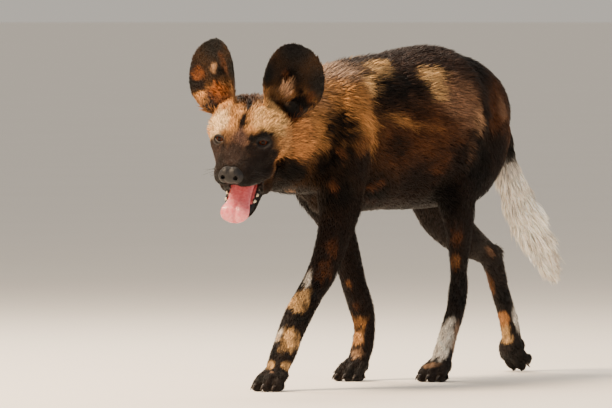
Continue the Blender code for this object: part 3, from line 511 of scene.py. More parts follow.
@dataclass(frozen=True)
class Patch:
    """One marking: its place, its half width and half height in millimetres, its tilt and colour."""

    spot: tuple[float, float, float]
    half_width: float
    half_height: float
    tilt: float
    tone: Tone
    twin: Twin = Twin.NONE
    depth: float = 0.0

    def share(self, points: np.ndarray, edge: np.ndarray, stance: Stance, mirrored: bool) -> np.ndarray:
        """How strongly the marking covers each point.

        Args:
            points: Places in the dog's own frame, one a row.
            edge: Noise that makes the marking's edge ragged.
            stance: Where the head stands.
            mirrored: Whether this is the twin on the other side.

        Returns:
            A share from 0 to 1 for each point.
        """
        if mirrored and self.twin is Twin.BODY:
            points = points * np.array([1, -1, 1])
        elif mirrored:
            head = stance.body().inverted() @ stance.head()
            flip = head @ Matrix.Diagonal((1, -1, 1, 1)) @ head.inverted()
            points = moved(flip, points)
        apart = points - np.array(self.spot)
        c, s = math.cos(math.radians(self.tilt)), math.sin(math.radians(self.tilt))
        right, up = apart @ ACROSS, apart @ UPWARD
        across = (right * c + up * s) / self.half_width
        upward = (up * c - right * s) / self.half_height
        deep = self.depth or max(self.half_width, self.half_height, LEAST_DEPTH)
        reach = np.sqrt((across**2 + upward**2) * 1e6 + (apart @ OUTWARD * 1000 / deep) ** 2)
        return 1 - smooth_step(*SOFT_EDGE, reach + edge)


PATCHES = [
    # Body.
    # Partly painted sheen: this strip of SLATE along the top of the back is lighter than the black beside
    # it.
    Patch((-0.397, 0.055, 0.575), 107, 20, 0, Tone.SLATE, Twin.BODY),
    Patch((-0.522, 0.045, 0.567), 32, 20, -35, Tone.BLACK, Twin.BODY),
    Patch((-0.164, 0.043, 0.550), 32, 21, 0, Tone.ASH, Twin.BODY),
    Patch((-0.142, 0.077, 0.508), 52, 31, 0, Tone.OCHRE, Twin.BODY),
    Patch((-0.147, 0.091, 0.482), 31, 21, 0, Tone.OCHRE, Twin.BODY),
    Patch((-0.258, 0.050, 0.558), 35, 21, 25, Tone.CREAM, Twin.BODY),
    Patch((-0.212, 0.069, 0.534), 21, 25, 0, Tone.CREAM, Twin.BODY),
    Patch((-0.285, 0.083, 0.523), 53, 26, -5, Tone.BLACK, Twin.BODY),
    Patch((-0.365, 0.084, 0.540), 32, 12, 5, Tone.CREAM, Twin.BODY),
    Patch((-0.368, 0.099, 0.513), 21, 17, 0, Tone.CREAM, Twin.BODY),
    Patch((-0.410, 0.109, 0.504), 35, 35, 0, Tone.TAUPE, Twin.BODY),
    Patch((-0.309, 0.104, 0.475), 53, 11, -15, Tone.BLACK, Twin.BODY),
    Patch((-0.328, 0.111, 0.447), 85, 32, -10, Tone.UMBER, Twin.BODY),
    Patch((-0.271, 0.101, 0.463), 46, 9, -12, Tone.OCHRE, Twin.BODY),
    Patch((-0.329, 0.110, 0.452), 39, 7, -10, Tone.RUST, Twin.BODY),
    Patch((-0.248, 0.101, 0.426), 26, 25, 0, Tone.BLACK, Twin.BODY),
    Patch((-0.165, 0.099, 0.450), 21, 42, 10, Tone.OCHRE, Twin.BODY),
    Patch((-0.149, 0.103, 0.423), 24, 17, 0, Tone.RUST, Twin.BODY),
    Patch((-0.323, 0.111, 0.413), 16, 11, 0, Tone.UMBER, Twin.BODY),
    Patch((-0.361, 0.114, 0.398), 14, 12, 0, Tone.UMBER, Twin.BODY),
    Patch((-0.351, 0.108, 0.381), 16, 9, 0, Tone.UMBER, Twin.BODY),
    Patch((-0.304, 0.108, 0.431), 14, 9, 0, Tone.UMBER, Twin.BODY),
    # Painted highlight: a light rim along the fold between flank and thigh, where the light grazes.
    Patch((-0.444, 0.109, 0.509), 11, 23, 15, Tone.TAUPE, Twin.BODY),
    Patch((-0.452, 0.118, 0.465), 9, 28, 0, Tone.FAWN, Twin.BODY),
    Patch((-0.432, 0.121, 0.415), 10, 27, -15, Tone.TAUPE, Twin.BODY),
    Patch((-0.100, 0.090, 0.437), 30, 59, 5, Tone.BLACK, Twin.BODY),
    Patch((-0.203, 0.079, 0.351), 20, 6, 20, Tone.UMBER, Twin.BODY),
    Patch((-0.081, 0.094, 0.355), 8, 8, 0, Tone.UMBER, Twin.BODY),
    Patch((-0.051, 0.076, 0.371), 9, 5, 0, Tone.UMBER, Twin.BODY),
    Patch((-0.100, 0.097, 0.411), 10, 10, 0, Tone.UMBER, Twin.BODY),
    Patch((-0.223, 0.065, 0.328), 16, 5, 0, Tone.SLATE, Twin.BODY),
    Patch((-0.535, 0.092, 0.478), 18, 36, 0, Tone.UMBER, Twin.BODY),
    # Painted highlight: a light strip along the rump's back edge, where the light grazes.
    Patch((-0.567, 0.083, 0.484), 10, 33, 0, Tone.TAUPE, Twin.BODY),
    Patch((-0.461, 0.113, 0.384), 21, 64, 10, Tone.BLACK, Twin.BODY),
    # Head.
    Patch((0.152, 0.030, 0.469), 23, 30, 0, Tone.STRAW),
    Patch((0.097, 0.112, 0.471), 41, 31, -35, Tone.CREAM),
    Patch((0.049, 0.106, 0.436), 31, 21, -30, Tone.TAN, Twin.HEAD),
    Patch((-0.005, 0.097, 0.435), 31, 35, -25, Tone.APRICOT, Twin.HEAD),
    Patch((0.083, 0.048, 0.514), 18, 14, 0, Tone.UMBER),
    Patch((0.111, 0.066, 0.497), 6, 19, -15, Tone.SOOT),
    Patch((0.138, 0.076, 0.470), 8, 21, -8, Tone.SOOT),
    # Partly painted sheen on the top of the muzzle.
    Patch((0.151, 0.081, 0.444), 6, 15, -5, Tone.DUSK),
    Patch((0.126, 0.108, 0.389), 41, 34, -10, Tone.SOOT, Twin.HEAD),
    # Partly painted sheen on the top of the muzzle.
    Patch((0.171, 0.080, 0.417), 14, 24, 0, Tone.SLATE),
    Patch((0.167, 0.036, 0.406), 10, 34, 0, Tone.SLATE),
    Patch((0.007, 0.084, 0.379), 38, 22, -5, Tone.BLACK, Twin.HEAD),
    Patch((0.123, 0.110, 0.439), 24, 13, 0, Tone.BLACK),
    Patch((0.132, 0.112, 0.420), 24, 12, 0, Tone.SOOT),
    Patch((0.159, 0.043, 0.440), 11, 9, 0, Tone.SOOT),
    Patch((-0.042, 0.038, 0.338), 17, 10, -15, Tone.FAWN),
    # Ears.
    Patch((0.101, -0.025, 0.504), 26, 18, 0, Tone.SLATE, depth=25),
    Patch((0.105, -0.006, 0.520), 19, 16, 0, Tone.AMBER, depth=25),
    Patch((0.102, -0.052, 0.509), 12, 9, 0, Tone.TAN, depth=25),
    Patch((0.100, -0.029, 0.497), 16, 9, 0, Tone.SOOT, depth=25),
    Patch((0.107, -0.050, 0.530), 16, 7, 0, Tone.SOOT, depth=25),
    Patch((0.112, -0.050, 0.553), 16, 12, 0, Tone.AMBER, depth=25),
    Patch((0.114, -0.014, 0.560), 10, 9, 20, Tone.FAWN, depth=8),
    Patch((0.117, 0.013, 0.571), 6, 28, 22, Tone.UMBER, depth=25),
    Patch((0.109, 0.038, 0.536), 7, 28, 15, Tone.BLACK, depth=18),
    Patch((0.044, 0.118, 0.497), 34, 24, 0, Tone.BLACK, depth=26),
    Patch((0.056, 0.103, 0.526), 13, 24, 10, Tone.FAWN, depth=15),
    Patch((0.059, 0.104, 0.546), 7, 14, 10, Tone.UMBER, depth=14),
    Patch((0.019, 0.128, 0.510), 9, 12, 0, Tone.UMBER, depth=25),
    Patch((0.040, 0.100, 0.474), 20, 6, 10, Tone.AMBER, depth=25),
    # Left foreleg.
    Patch((-0.102, 0.088, 0.273), 24, 28, 0, Tone.SOOT, depth=20),
    Patch((-0.064, 0.081, 0.204), 14, 21, -15, Tone.UMBER, depth=20),
    Patch((-0.085, 0.084, 0.242), 12, 16, 0, Tone.UMBER, depth=20),
    Patch((-0.014, 0.073, 0.148), 18, 24, -20, Tone.CREAM, depth=18),
    Patch((-0.039, 0.070, 0.183), 5, 17, -20, Tone.WHITE, depth=16),
    Patch((-0.031, 0.088, 0.154), 7, 28, -15, Tone.BLACK, depth=14),
    Patch((0.004, 0.077, 0.117), 23, 10, 25, Tone.BLACK, depth=16),
    Patch((0.029, 0.062, 0.095), 7, 14, -20, Tone.WHITE, depth=16),
    Patch((0.020, 0.079, 0.083), 19, 25, -20, Tone.CREAM, depth=18),
    Patch((0.041, 0.062, 0.067), 7, 9, 0, Tone.BLACK, depth=10),
    Patch((0.026, 0.077, 0.073), 5, 7, -10, Tone.UMBER, depth=9),
    Patch((0.018, 0.091, 0.066), 5, 10, -20, Tone.SOOT, depth=10),
    Patch((0.040, 0.078, 0.050), 10, 5, -10, Tone.SOOT, depth=10),
    Patch((0.056, 0.064, 0.044), 10, 9, 0, Tone.CREAM, depth=12),
    Patch((0.037, 0.089, 0.042), 9, 11, 0, Tone.CREAM, depth=12),
    Patch((0.079, 0.067, 0.022), 16, 9, 0, Tone.BLACK, depth=14),
    Patch((0.051, 0.091, 0.029), 12, 9, 0, Tone.BLACK, depth=14),
    Patch((0.062, 0.076, 0.030), 5, 5, 0, Tone.FAWN, depth=8),
    # Right foreleg.
    Patch((-0.312, -0.061, 0.171), 7, 14, 20, Tone.RUST, depth=14),
    Patch((-0.329, -0.059, 0.131), 9, 12, 0, Tone.UMBER, depth=14),
    Patch((-0.338, -0.059, 0.104), 13, 16, 0, Tone.OCHRE, depth=16),
    Patch((-0.335, -0.060, 0.074), 13, 14, 0, Tone.TAN, depth=16),
    Patch((-0.327, -0.055, 0.044), 12, 12, 0, Tone.FAWN, depth=14),
    Patch((-0.343, -0.048, 0.064), 5, 18, 0, Tone.BLACK, depth=12),
    Patch((-0.300, -0.049, 0.013), 18, 12, 0, Tone.BLACK, depth=18),
    # Left hind leg.
    Patch((-0.422, 0.101, 0.252), 14, 25, 0, Tone.UMBER, depth=16),
    Patch((-0.448, 0.110, 0.212), 7, 28, -8, Tone.OCHRE, depth=14),
    Patch((-0.428, 0.087, 0.212), 9, 16, 0, Tone.RUST, depth=14),
    Patch((-0.450, 0.081, 0.160), 20, 28, 0, Tone.BLACK, depth=18),
    # Painted shade: a grey strip down the shaded rear side of the white sock.
    Patch((-0.435, 0.086, 0.080), 9, 27, -12, Tone.ASH, depth=16),
    Patch((-0.420, 0.068, 0.080), 16, 33, -18, Tone.WHITE, depth=18),
    Patch((-0.402, 0.065, 0.049), 18, 16, 0, Tone.WHITE, depth=18),
    Patch((-0.386, 0.069, 0.028), 14, 5, 0, Tone.FAWN, depth=14),
    Patch((-0.395, 0.093, 0.020), 21, 9, 0, Tone.SOOT, depth=16),
    # Right hind leg.
    Patch((-0.601, -0.092, 0.273), 13, 22, 25, Tone.RUST, depth=16),
    Patch((-0.707, -0.059, 0.220), 16, 5, -40, Tone.TAUPE, depth=14),
    Patch((-0.729, -0.071, 0.161), 5, 25, 15, Tone.RUST, depth=14),
    Patch((-0.749, -0.060, 0.132), 13, 18, 0, Tone.BLACK, depth=14),
    Patch((-0.756, -0.068, 0.093), 11, 16, 10, Tone.APRICOT, depth=14),
    Patch((-0.766, -0.064, 0.063), 11, 18, 5, Tone.CREAM, depth=16),
    Patch((-0.774, -0.047, 0.089), 5, 27, 15, Tone.WHITE, depth=12),
    Patch((-0.780, -0.059, 0.025), 29, 29, 0, Tone.BLACK, depth=24),
]


# Strength, size and pattern of the noise on a marking's edge and on the finished colour.
EDGE_NOISE = ((0.36, 0.020, 3), (0.38, 0.008, 4), (0.26, 0.0035, 5))
TONE_NOISE = ((0.26, 0.013, 6), (0.24, 0.005, 7))


@dataclass(frozen=True)
class Markings:
    """The painted coat: patches over the ground colour, with ragged edges and fine mottling."""

    stance: Stance
    belly_height: tuple[float, float] = (0.30, 0.36)
    streaks_along_trunk: float = 0.62
    streaks_down_legs: float = 0.40
    strands_on_trunk: float = 0.45
    strands_on_legs: float = 0.55
    gaps: float = 0.25
    head_starts: float = 0.0
    head_height: float = 0.34

    def colour(self, points: np.ndarray, ground: np.ndarray) -> np.ndarray:
        """Paints every point.

        Args:
            points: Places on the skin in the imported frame.
            ground: The ground colour at each.

        Returns:
            Linear red, green and blue for each point.
        """
        own = moved(self.stance.body().inverted(), points)
        trunk = smooth_step(*self.belly_height, own[:, 2])[:, None]
        level = np.array([self.streaks_along_trunk, 0.0, 0.0])
        down = np.array([0.0, 0.0, self.streaks_down_legs])
        drawn = own * (1 - trunk * level - (1 - trunk) * down)
        edge = sum(strength * mottle(drawn, cell, seed) for strength, cell, seed in EDGE_NOISE)
        strands = smooth_step(0.10, 0.60, mottle(drawn, 0.0060, 9))[:, None]
        thin = smooth_step(0.20, 0.60, mottle(drawn, 0.0038, 10))[:, None]
        mixed = self.strands_on_trunk * trunk + self.strands_on_legs * (1 - trunk)
        whole = 1 - mixed * strands - self.gaps * thin
        head = (own[:, :1] > self.head_starts) & (own[:, 2:] > self.head_height)
        whole = np.where(head, 1.0, whole)
        painted = ground.copy()
        for patch in PATCHES:
            tone = linear(patch.tone.value)
            for mirrored in (False, True) if patch.twin is not Twin.NONE else (False,):
                share = patch.share(own, edge, self.stance, mirrored)[:, None] * whole
                painted += (tone - painted) * share
        fine = sum((strength * mottle(drawn, cell, seed) for strength, cell, seed in TONE_NOISE), 1)
        return np.clip(painted * fine[:, None], 0.002, 1)


def mesh_points(mesh: Any) -> np.ndarray:
    """The places of a mesh's vertices, one a row."""
    flat = np.zeros(len(mesh.vertices) * 3)
    mesh.vertices.foreach_get("co", flat)
    return flat.reshape(-1, 3)


def mesh_normals(mesh: Any) -> np.ndarray:
    """The outward directions at a mesh's vertices, one a row."""
    flat = np.zeros(len(mesh.vertices) * 3)
    mesh.vertices.foreach_get("normal", flat)
    return flat.reshape(-1, 3)


def store(mesh: Any, name: str, kind: str, values: np.ndarray, domain: str = "POINT") -> None:
    """Writes values as a named attribute of a mesh.

    Args:
        mesh: The mesh.
        name: The attribute's name.
        kind: FLOAT, FLOAT2, FLOAT_VECTOR or FLOAT_COLOR.
        values: One row for each element.
        domain: POINT or CORNER.
    """
    key = {"FLOAT": "value", "FLOAT2": "vector", "FLOAT_VECTOR": "vector", "FLOAT_COLOR": "color"}[kind]
    if kind == "FLOAT_COLOR":
        values = np.hstack([values, np.ones((len(values), 1))])
    flat = np.ascontiguousarray(values, np.float32).ravel()
    mesh.attributes.new(name, kind, domain).data.foreach_set(key, flat)


def new_object(name: str, mesh: Any) -> Any:
    """Links a mesh into the scene as an object at the origin."""
    made = bpy.data.objects.new(name, mesh)
    bpy.context.scene.collection.objects.link(made)
    return made


def from_bmesh(name: str, bm: Any, smooth: bool = True) -> Any:
    """Turns a bmesh into a linked object with its faces outwards, and frees it."""
    bmesh.ops.recalc_face_normals(bm, faces=bm.faces)
    mesh = bpy.data.meshes.new(name)
    bm.to_mesh(mesh)
    bm.free()
    mesh.polygons.foreach_set("use_smooth", [smooth] * len(mesh.polygons))
    return new_object(name, mesh)


def apply_modifiers(obj: Any) -> None:
    """Replaces an object's mesh with what its modifiers make of it."""
    graph = bpy.context.evaluated_depsgraph_get()
    mesh = bpy.data.meshes.new_from_object(obj.evaluated_get(graph))
    obj.modifiers.clear()
    obj.data = mesh


def remesh(obj: Any, voxel: float, rounds: int) -> None:
    """Melts an object's shells into one even surface and smooths it.

    Args:
        obj: The object.
        voxel: The size of a step in metres.
        rounds: How often it is smoothed.
    """
    melt = obj.modifiers.new("melt", "REMESH")
    melt.mode = "VOXEL"
    melt.voxel_size = voxel
    soften = obj.modifiers.new("soften", "SMOOTH")
    soften.factor = 0.5
    soften.iterations = rounds
    apply_modifiers(obj)


def sweep(bm: Any, path: list[Vector], radii: list[float], sides: int = 8, closed: bool = False) -> None:
    """Adds a round tube along a path.

    Args:
        bm: The bmesh that it is added to.
        path: The middle of each ring.
        radii: The radius of each ring.
        sides: Points round a ring.
        closed: Whether the path returns to its start.
    """
    rings = []
    count = len(path)
    across = None
    for i, middle in enumerate(path):
        ahead = path[(i + 1) % count] if closed else path[min(i + 1, count - 1)]
        behind = path[i - 1] if closed else path[max(i - 1, 0)]
        along = (ahead - behind).normalized()
        if across is None:
            across = along.orthogonal().normalized()
        across = (across - along * across.dot(along)).normalized()
        upward = along.cross(across)
        ring = []
        for k in range(sides):
            angle = 2 * math.pi * k / sides
            outward = across * math.cos(angle) + upward * math.sin(angle)
            ring.append(bm.verts.new(middle + outward * radii[i]))
        rings.append(ring)
    pairs = list(zip(rings, rings[1:]))
    if closed:
        first, last = rings[0], rings[-1]
        start = min(range(sides), key=lambda k: (first[k].co - last[0].co).length)
        pairs.append((last, first[start:] + first[:start]))
    else:
        bm.faces.new(reversed(rings[0]))
        bm.faces.new(rings[-1])
    for ring, following in pairs:
        for k in range(sides):
            j = (k + 1) % sides
            bm.faces.new((ring[k], ring[j], following[j], following[k]))


class Slot(Enum):
    """The material slots."""

    DARK_COAT = "dark_coat"
    OCHRE_COAT = "ochre_coat"
    PALE_COAT = "pale_coat"
    EAR_COAT = "ear_coat"
    LEG_COAT = "leg_coat"
    NOSE_LEATHER = "nose_leather"
    TONGUE = "tongue"
    EYE = "eye"


def settle(obj: Any, slot: Slot, material: Any, *nodes: str) -> Any:
    """Gives a finished piece its material and body, hides the CAD nodes that it replaces and logs its
    triangles.

    Args:
        obj: The piece.
        slot: Not used.
        material: Its finish, or None where it already has one.
        *nodes: The CAD nodes that it replaces.

    Returns:
        The piece.
    """
    if material:
        obj.data.materials.clear()
        obj.data.materials.append(material)
    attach(obj, "root")
    if nodes:
        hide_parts(*nodes)
    obj.data.calc_loop_triangles()
    LOG.info("%s: %d triangles", obj.name, len(obj.data.loop_triangles))
    return obj


@dataclass(frozen=True)
class Finish:
    """What the finishes share: a name and a Principled shader to build on."""

    name: str

    def start(self, **inputs: Any) -> tuple[Any, Any, Any]:
        """Makes the material.

        Args:
            **inputs: Values of the shader's sockets, with underscores for spaces.

        Returns:
            The material, its tree and its shader.
        """
        material = bpy.data.materials.new(self.name)
        material.use_nodes = True
        shader = material.node_tree.nodes["Principled BSDF"]
        for key, value in inputs.items():
            shader.inputs[key.replace("_", " ")].default_value = value
        return material, material.node_tree, shader


@dataclass(frozen=True)
class HairFinish(Finish):
    """Dog hair: keratin, faintly glossy along the shaft, and darkened towards the root by painted shade."""

    gloss: float = 0.07
    # Painted shade at each tuft's root, and the hair's own lighter tip.
    root_shade: float = 0.60
    tip_shade: float = 1.30

    def build(self) -> Any:
        """The tufts' material: the coat's colour, darkened towards the root by painted shade, lighter at the
        tip as the hair's own pale tips, and varied from tuft to tuft.
        """
        material, tree, shader = self.start(Roughness=0.55, IOR=1.55)
        shader.inputs["Specular IOR Level"].default_value = self.gloss
        colour = add_node(tree, "ShaderNodeAttribute", attribute_name="coat_colour")
        along = add_node(tree, "ShaderNodeAttribute", attribute_name="along")
        shade = add_node(tree, "ShaderNodeAttribute", attribute_name="shade")
        # Painted shade: each tuft darkens towards its root; its lighter tip is the hair's own colour.
        root_shade_and_pale_tip = add_node(
            tree,
            "ShaderNodeMapRange",
            {"Value": along.outputs["Fac"], "To Min": self.root_shade, "To Max": self.tip_shade},
        )
        both = add_node(
            tree, "ShaderNodeMath", {0: root_shade_and_pale_tip.outputs[0], 1: shade.outputs["Fac"]}, operation="MULTIPLY"
        )
        tinted = add_node(
            tree,
            "ShaderNodeVectorMath",
            {0: colour.outputs["Color"], "Scale": both.outputs[0]},
            operation="SCALE",
        )
        tree.links.new(tinted.outputs[0], shader.inputs["Base Color"])
        return material


@dataclass(frozen=True)
class SkinFinish(Finish):
    """The hide under the coat: dry and matt, darkened by painted shade where hair covers it, and moist where
    it is bare on lips and lids.
    """

    grain: float = 0.0015

    def build(self) -> Any:
        """The skin's material, with painted shade under the hair and fine hair drawn as bump at the grain's
        size.
        """
        material, tree, shader = self.start(IOR=1.4)
        colour = add_node(tree, "ShaderNodeAttribute", attribute_name="coat_colour")
        wet = add_node(tree, "ShaderNodeAttribute", attribute_name="wet")
        # Painted shade: skin under the hair is darkened to 0.62 of its colour; bare, moist skin keeps its
        # full colour.
        under = add_node(
            tree, "ShaderNodeMapRange", {"Value": wet.outputs["Fac"], "To Min": 0.62, "To Max": 1.0}
        )
        base = add_node(
            tree,
            "ShaderNodeVectorMath",
            {0: colour.outputs["Color"], "Scale": under.outputs[0]},
            operation="SCALE",
        )
        rough = add_node(
            tree, "ShaderNodeMapRange", {"Value": wet.outputs["Fac"], "To Min": 0.85, "To Max": 0.45}
        )
        place = add_node(tree, "ShaderNodeTexCoord")
        noise = add_node(
            tree,
            "ShaderNodeTexNoise",
            {"Vector": place.outputs["Object"], "Scale": 1 / self.grain, "Detail": 3.0},
        )
        bump = add_node(
            tree,
            "ShaderNodeBump",
            {"Height": noise.outputs[0], "Strength": 0.35, "Distance": self.grain / 2},
        )
        tree.links.new(base.outputs[0], shader.inputs["Base Color"])
        tree.links.new(rough.outputs[0], shader.inputs["Roughness"])
        tree.links.new(bump.outputs[0], shader.inputs["Normal"])
        return material


@dataclass(frozen=True)
class GrainedFinish(Finish):
    """A smooth organic surface in two tones with a fine grain, such as nose leather or horn."""

    dark: str = "#0d0c0d"
    light: str = "#2a2625"
    roughness: float = 0.35
    grain: float = 0.0011
    relief: float = 0.25
    coat: float = 0.0
    subsurface: float = 0.0

    def build(self) -> Any:
        """Two tones mixed by noise, with cells of the grain's size as bump."""
        material, tree, shader = self.start(Roughness=self.roughness, IOR=1.42)
        shader.inputs["Coat Weight"].default_value = self.coat
        shader.inputs["Coat Roughness"].default_value = 0.12
        shader.inputs["Subsurface Weight"].default_value = self.subsurface
        shader.inputs["Subsurface Scale"].default_value = 0.004
        place = add_node(tree, "ShaderNodeTexCoord")
        noise = add_node(
            tree,
            "ShaderNodeTexNoise",
            {"Vector": place.outputs["Object"], "Scale": 0.25 / self.grain, "Detail": 4.0},
        )
        tones = add_node(tree, "ShaderNodeValToRGB", {"Fac": noise.outputs[0]})
        tones.color_ramp.elements[0].position = 0.35
        tones.color_ramp.elements[0].color = (*linear(self.dark), 1)
        tones.color_ramp.elements[1].position = 0.68
        tones.color_ramp.elements[1].color = (*linear(self.light), 1)
        cells = add_node(
            tree,
            "ShaderNodeTexVoronoi",
            {"Vector": place.outputs["Object"], "Scale": 1 / self.grain},
        )
        bump = add_node(
            tree,
            "ShaderNodeBump",
            {"Height": cells.outputs["Distance"], "Strength": self.relief, "Distance": self.grain / 2},
        )
        tree.links.new(tones.outputs[0], shader.inputs["Base Color"])
        tree.links.new(bump.outputs[0], shader.inputs["Normal"])
        return material


@dataclass(frozen=True)
class EyeFinish(Finish):
    """A wet eyeball: dark pupil, amber-brown iris with a darker rim, brown white of the eye."""

    iris: str = "#54260d"
    iris_deep: str = "#1c0c06"

    def build(self) -> Any:
        """Rings by the angle from the gaze, under a clear wet coat."""
        material, tree, shader = self.start(Roughness=0.45, IOR=1.376)
        shader.inputs["Specular IOR Level"].default_value = 0.08
        shader.inputs["Coat Weight"].default_value = 0.18
        shader.inputs["Coat Roughness"].default_value = 0.03
        gaze = add_node(tree, "ShaderNodeAttribute", attribute_name="gaze_angle")
        ramp = add_node(tree, "ShaderNodeValToRGB", {"Fac": gaze.outputs["Fac"]})
        stops = [
            (0.00, "#050303"),
            (0.15, "#050303"),
            (0.18, self.iris_deep),
            (0.28, self.iris),
            (0.38, self.iris_deep),
            (0.42, "#0a0605"),
            (0.60, "#1a100c"),
        ]
        elements = ramp.color_ramp.elements
        elements[0].position, elements[0].color = stops[0][0], (*linear(stops[0][1]), 1)
        elements[1].position, elements[1].color = stops[-1][0], (*linear(stops[-1][1]), 1)
        for position, tone in stops[1:-1]:
            elements.new(position).color = (*linear(tone), 1)
        place = add_node(tree, "ShaderNodeTexCoord")
        noise = add_node(
            tree,
            "ShaderNodeTexNoise",
            {"Vector": place.outputs["Object"], "Scale": 900.0, "Detail": 2.0},
        )
        vary = add_node(
            tree, "ShaderNodeMapRange", {"Value": noise.outputs[0], "To Min": 0.6, "To Max": 1.5}
        )
        tinted = add_node(
            tree,
            "ShaderNodeVectorMath",
            {0: ramp.outputs[0], "Scale": vary.outputs[0]},
            operation="SCALE",
        )
        tree.links.new(tinted.outputs[0], shader.inputs["Base Color"])
        return material


@dataclass(frozen=True)
class FloorFinish(Finish):
    """A plain pale studio floor with a faint unevenness of tone."""

    def build(self) -> Any:
        """The floor's material."""
        material, tree, shader = self.start(Roughness=0.9)
        place = add_node(tree, "ShaderNodeTexCoord")
        noise = add_node(tree, "ShaderNodeTexNoise", {"Vector": place.outputs["Object"], "Scale": 1.5})
        tones = add_node(tree, "ShaderNodeValToRGB", {"Fac": noise.outputs[0]})
        tones.color_ramp.elements[0].color = (*linear("#f4eee6"), 1)
        tones.color_ramp.elements[1].color = (*linear("#f8f3ec"), 1)
        tree.links.new(tones.outputs[0], shader.inputs["Base Color"])
        return material


FLESH = (
    "torso",
    "neck",
    "head",
    "lower_jaw",
    "ear_left",
    "ear_right",
    "foreleg_left",
    "foreleg_right",
    "hindleg_left",
    "hindleg_right",
    "forepaw_left",
    "forepaw_right",
    "hindpaw_left",
    "hindpaw_right",
)


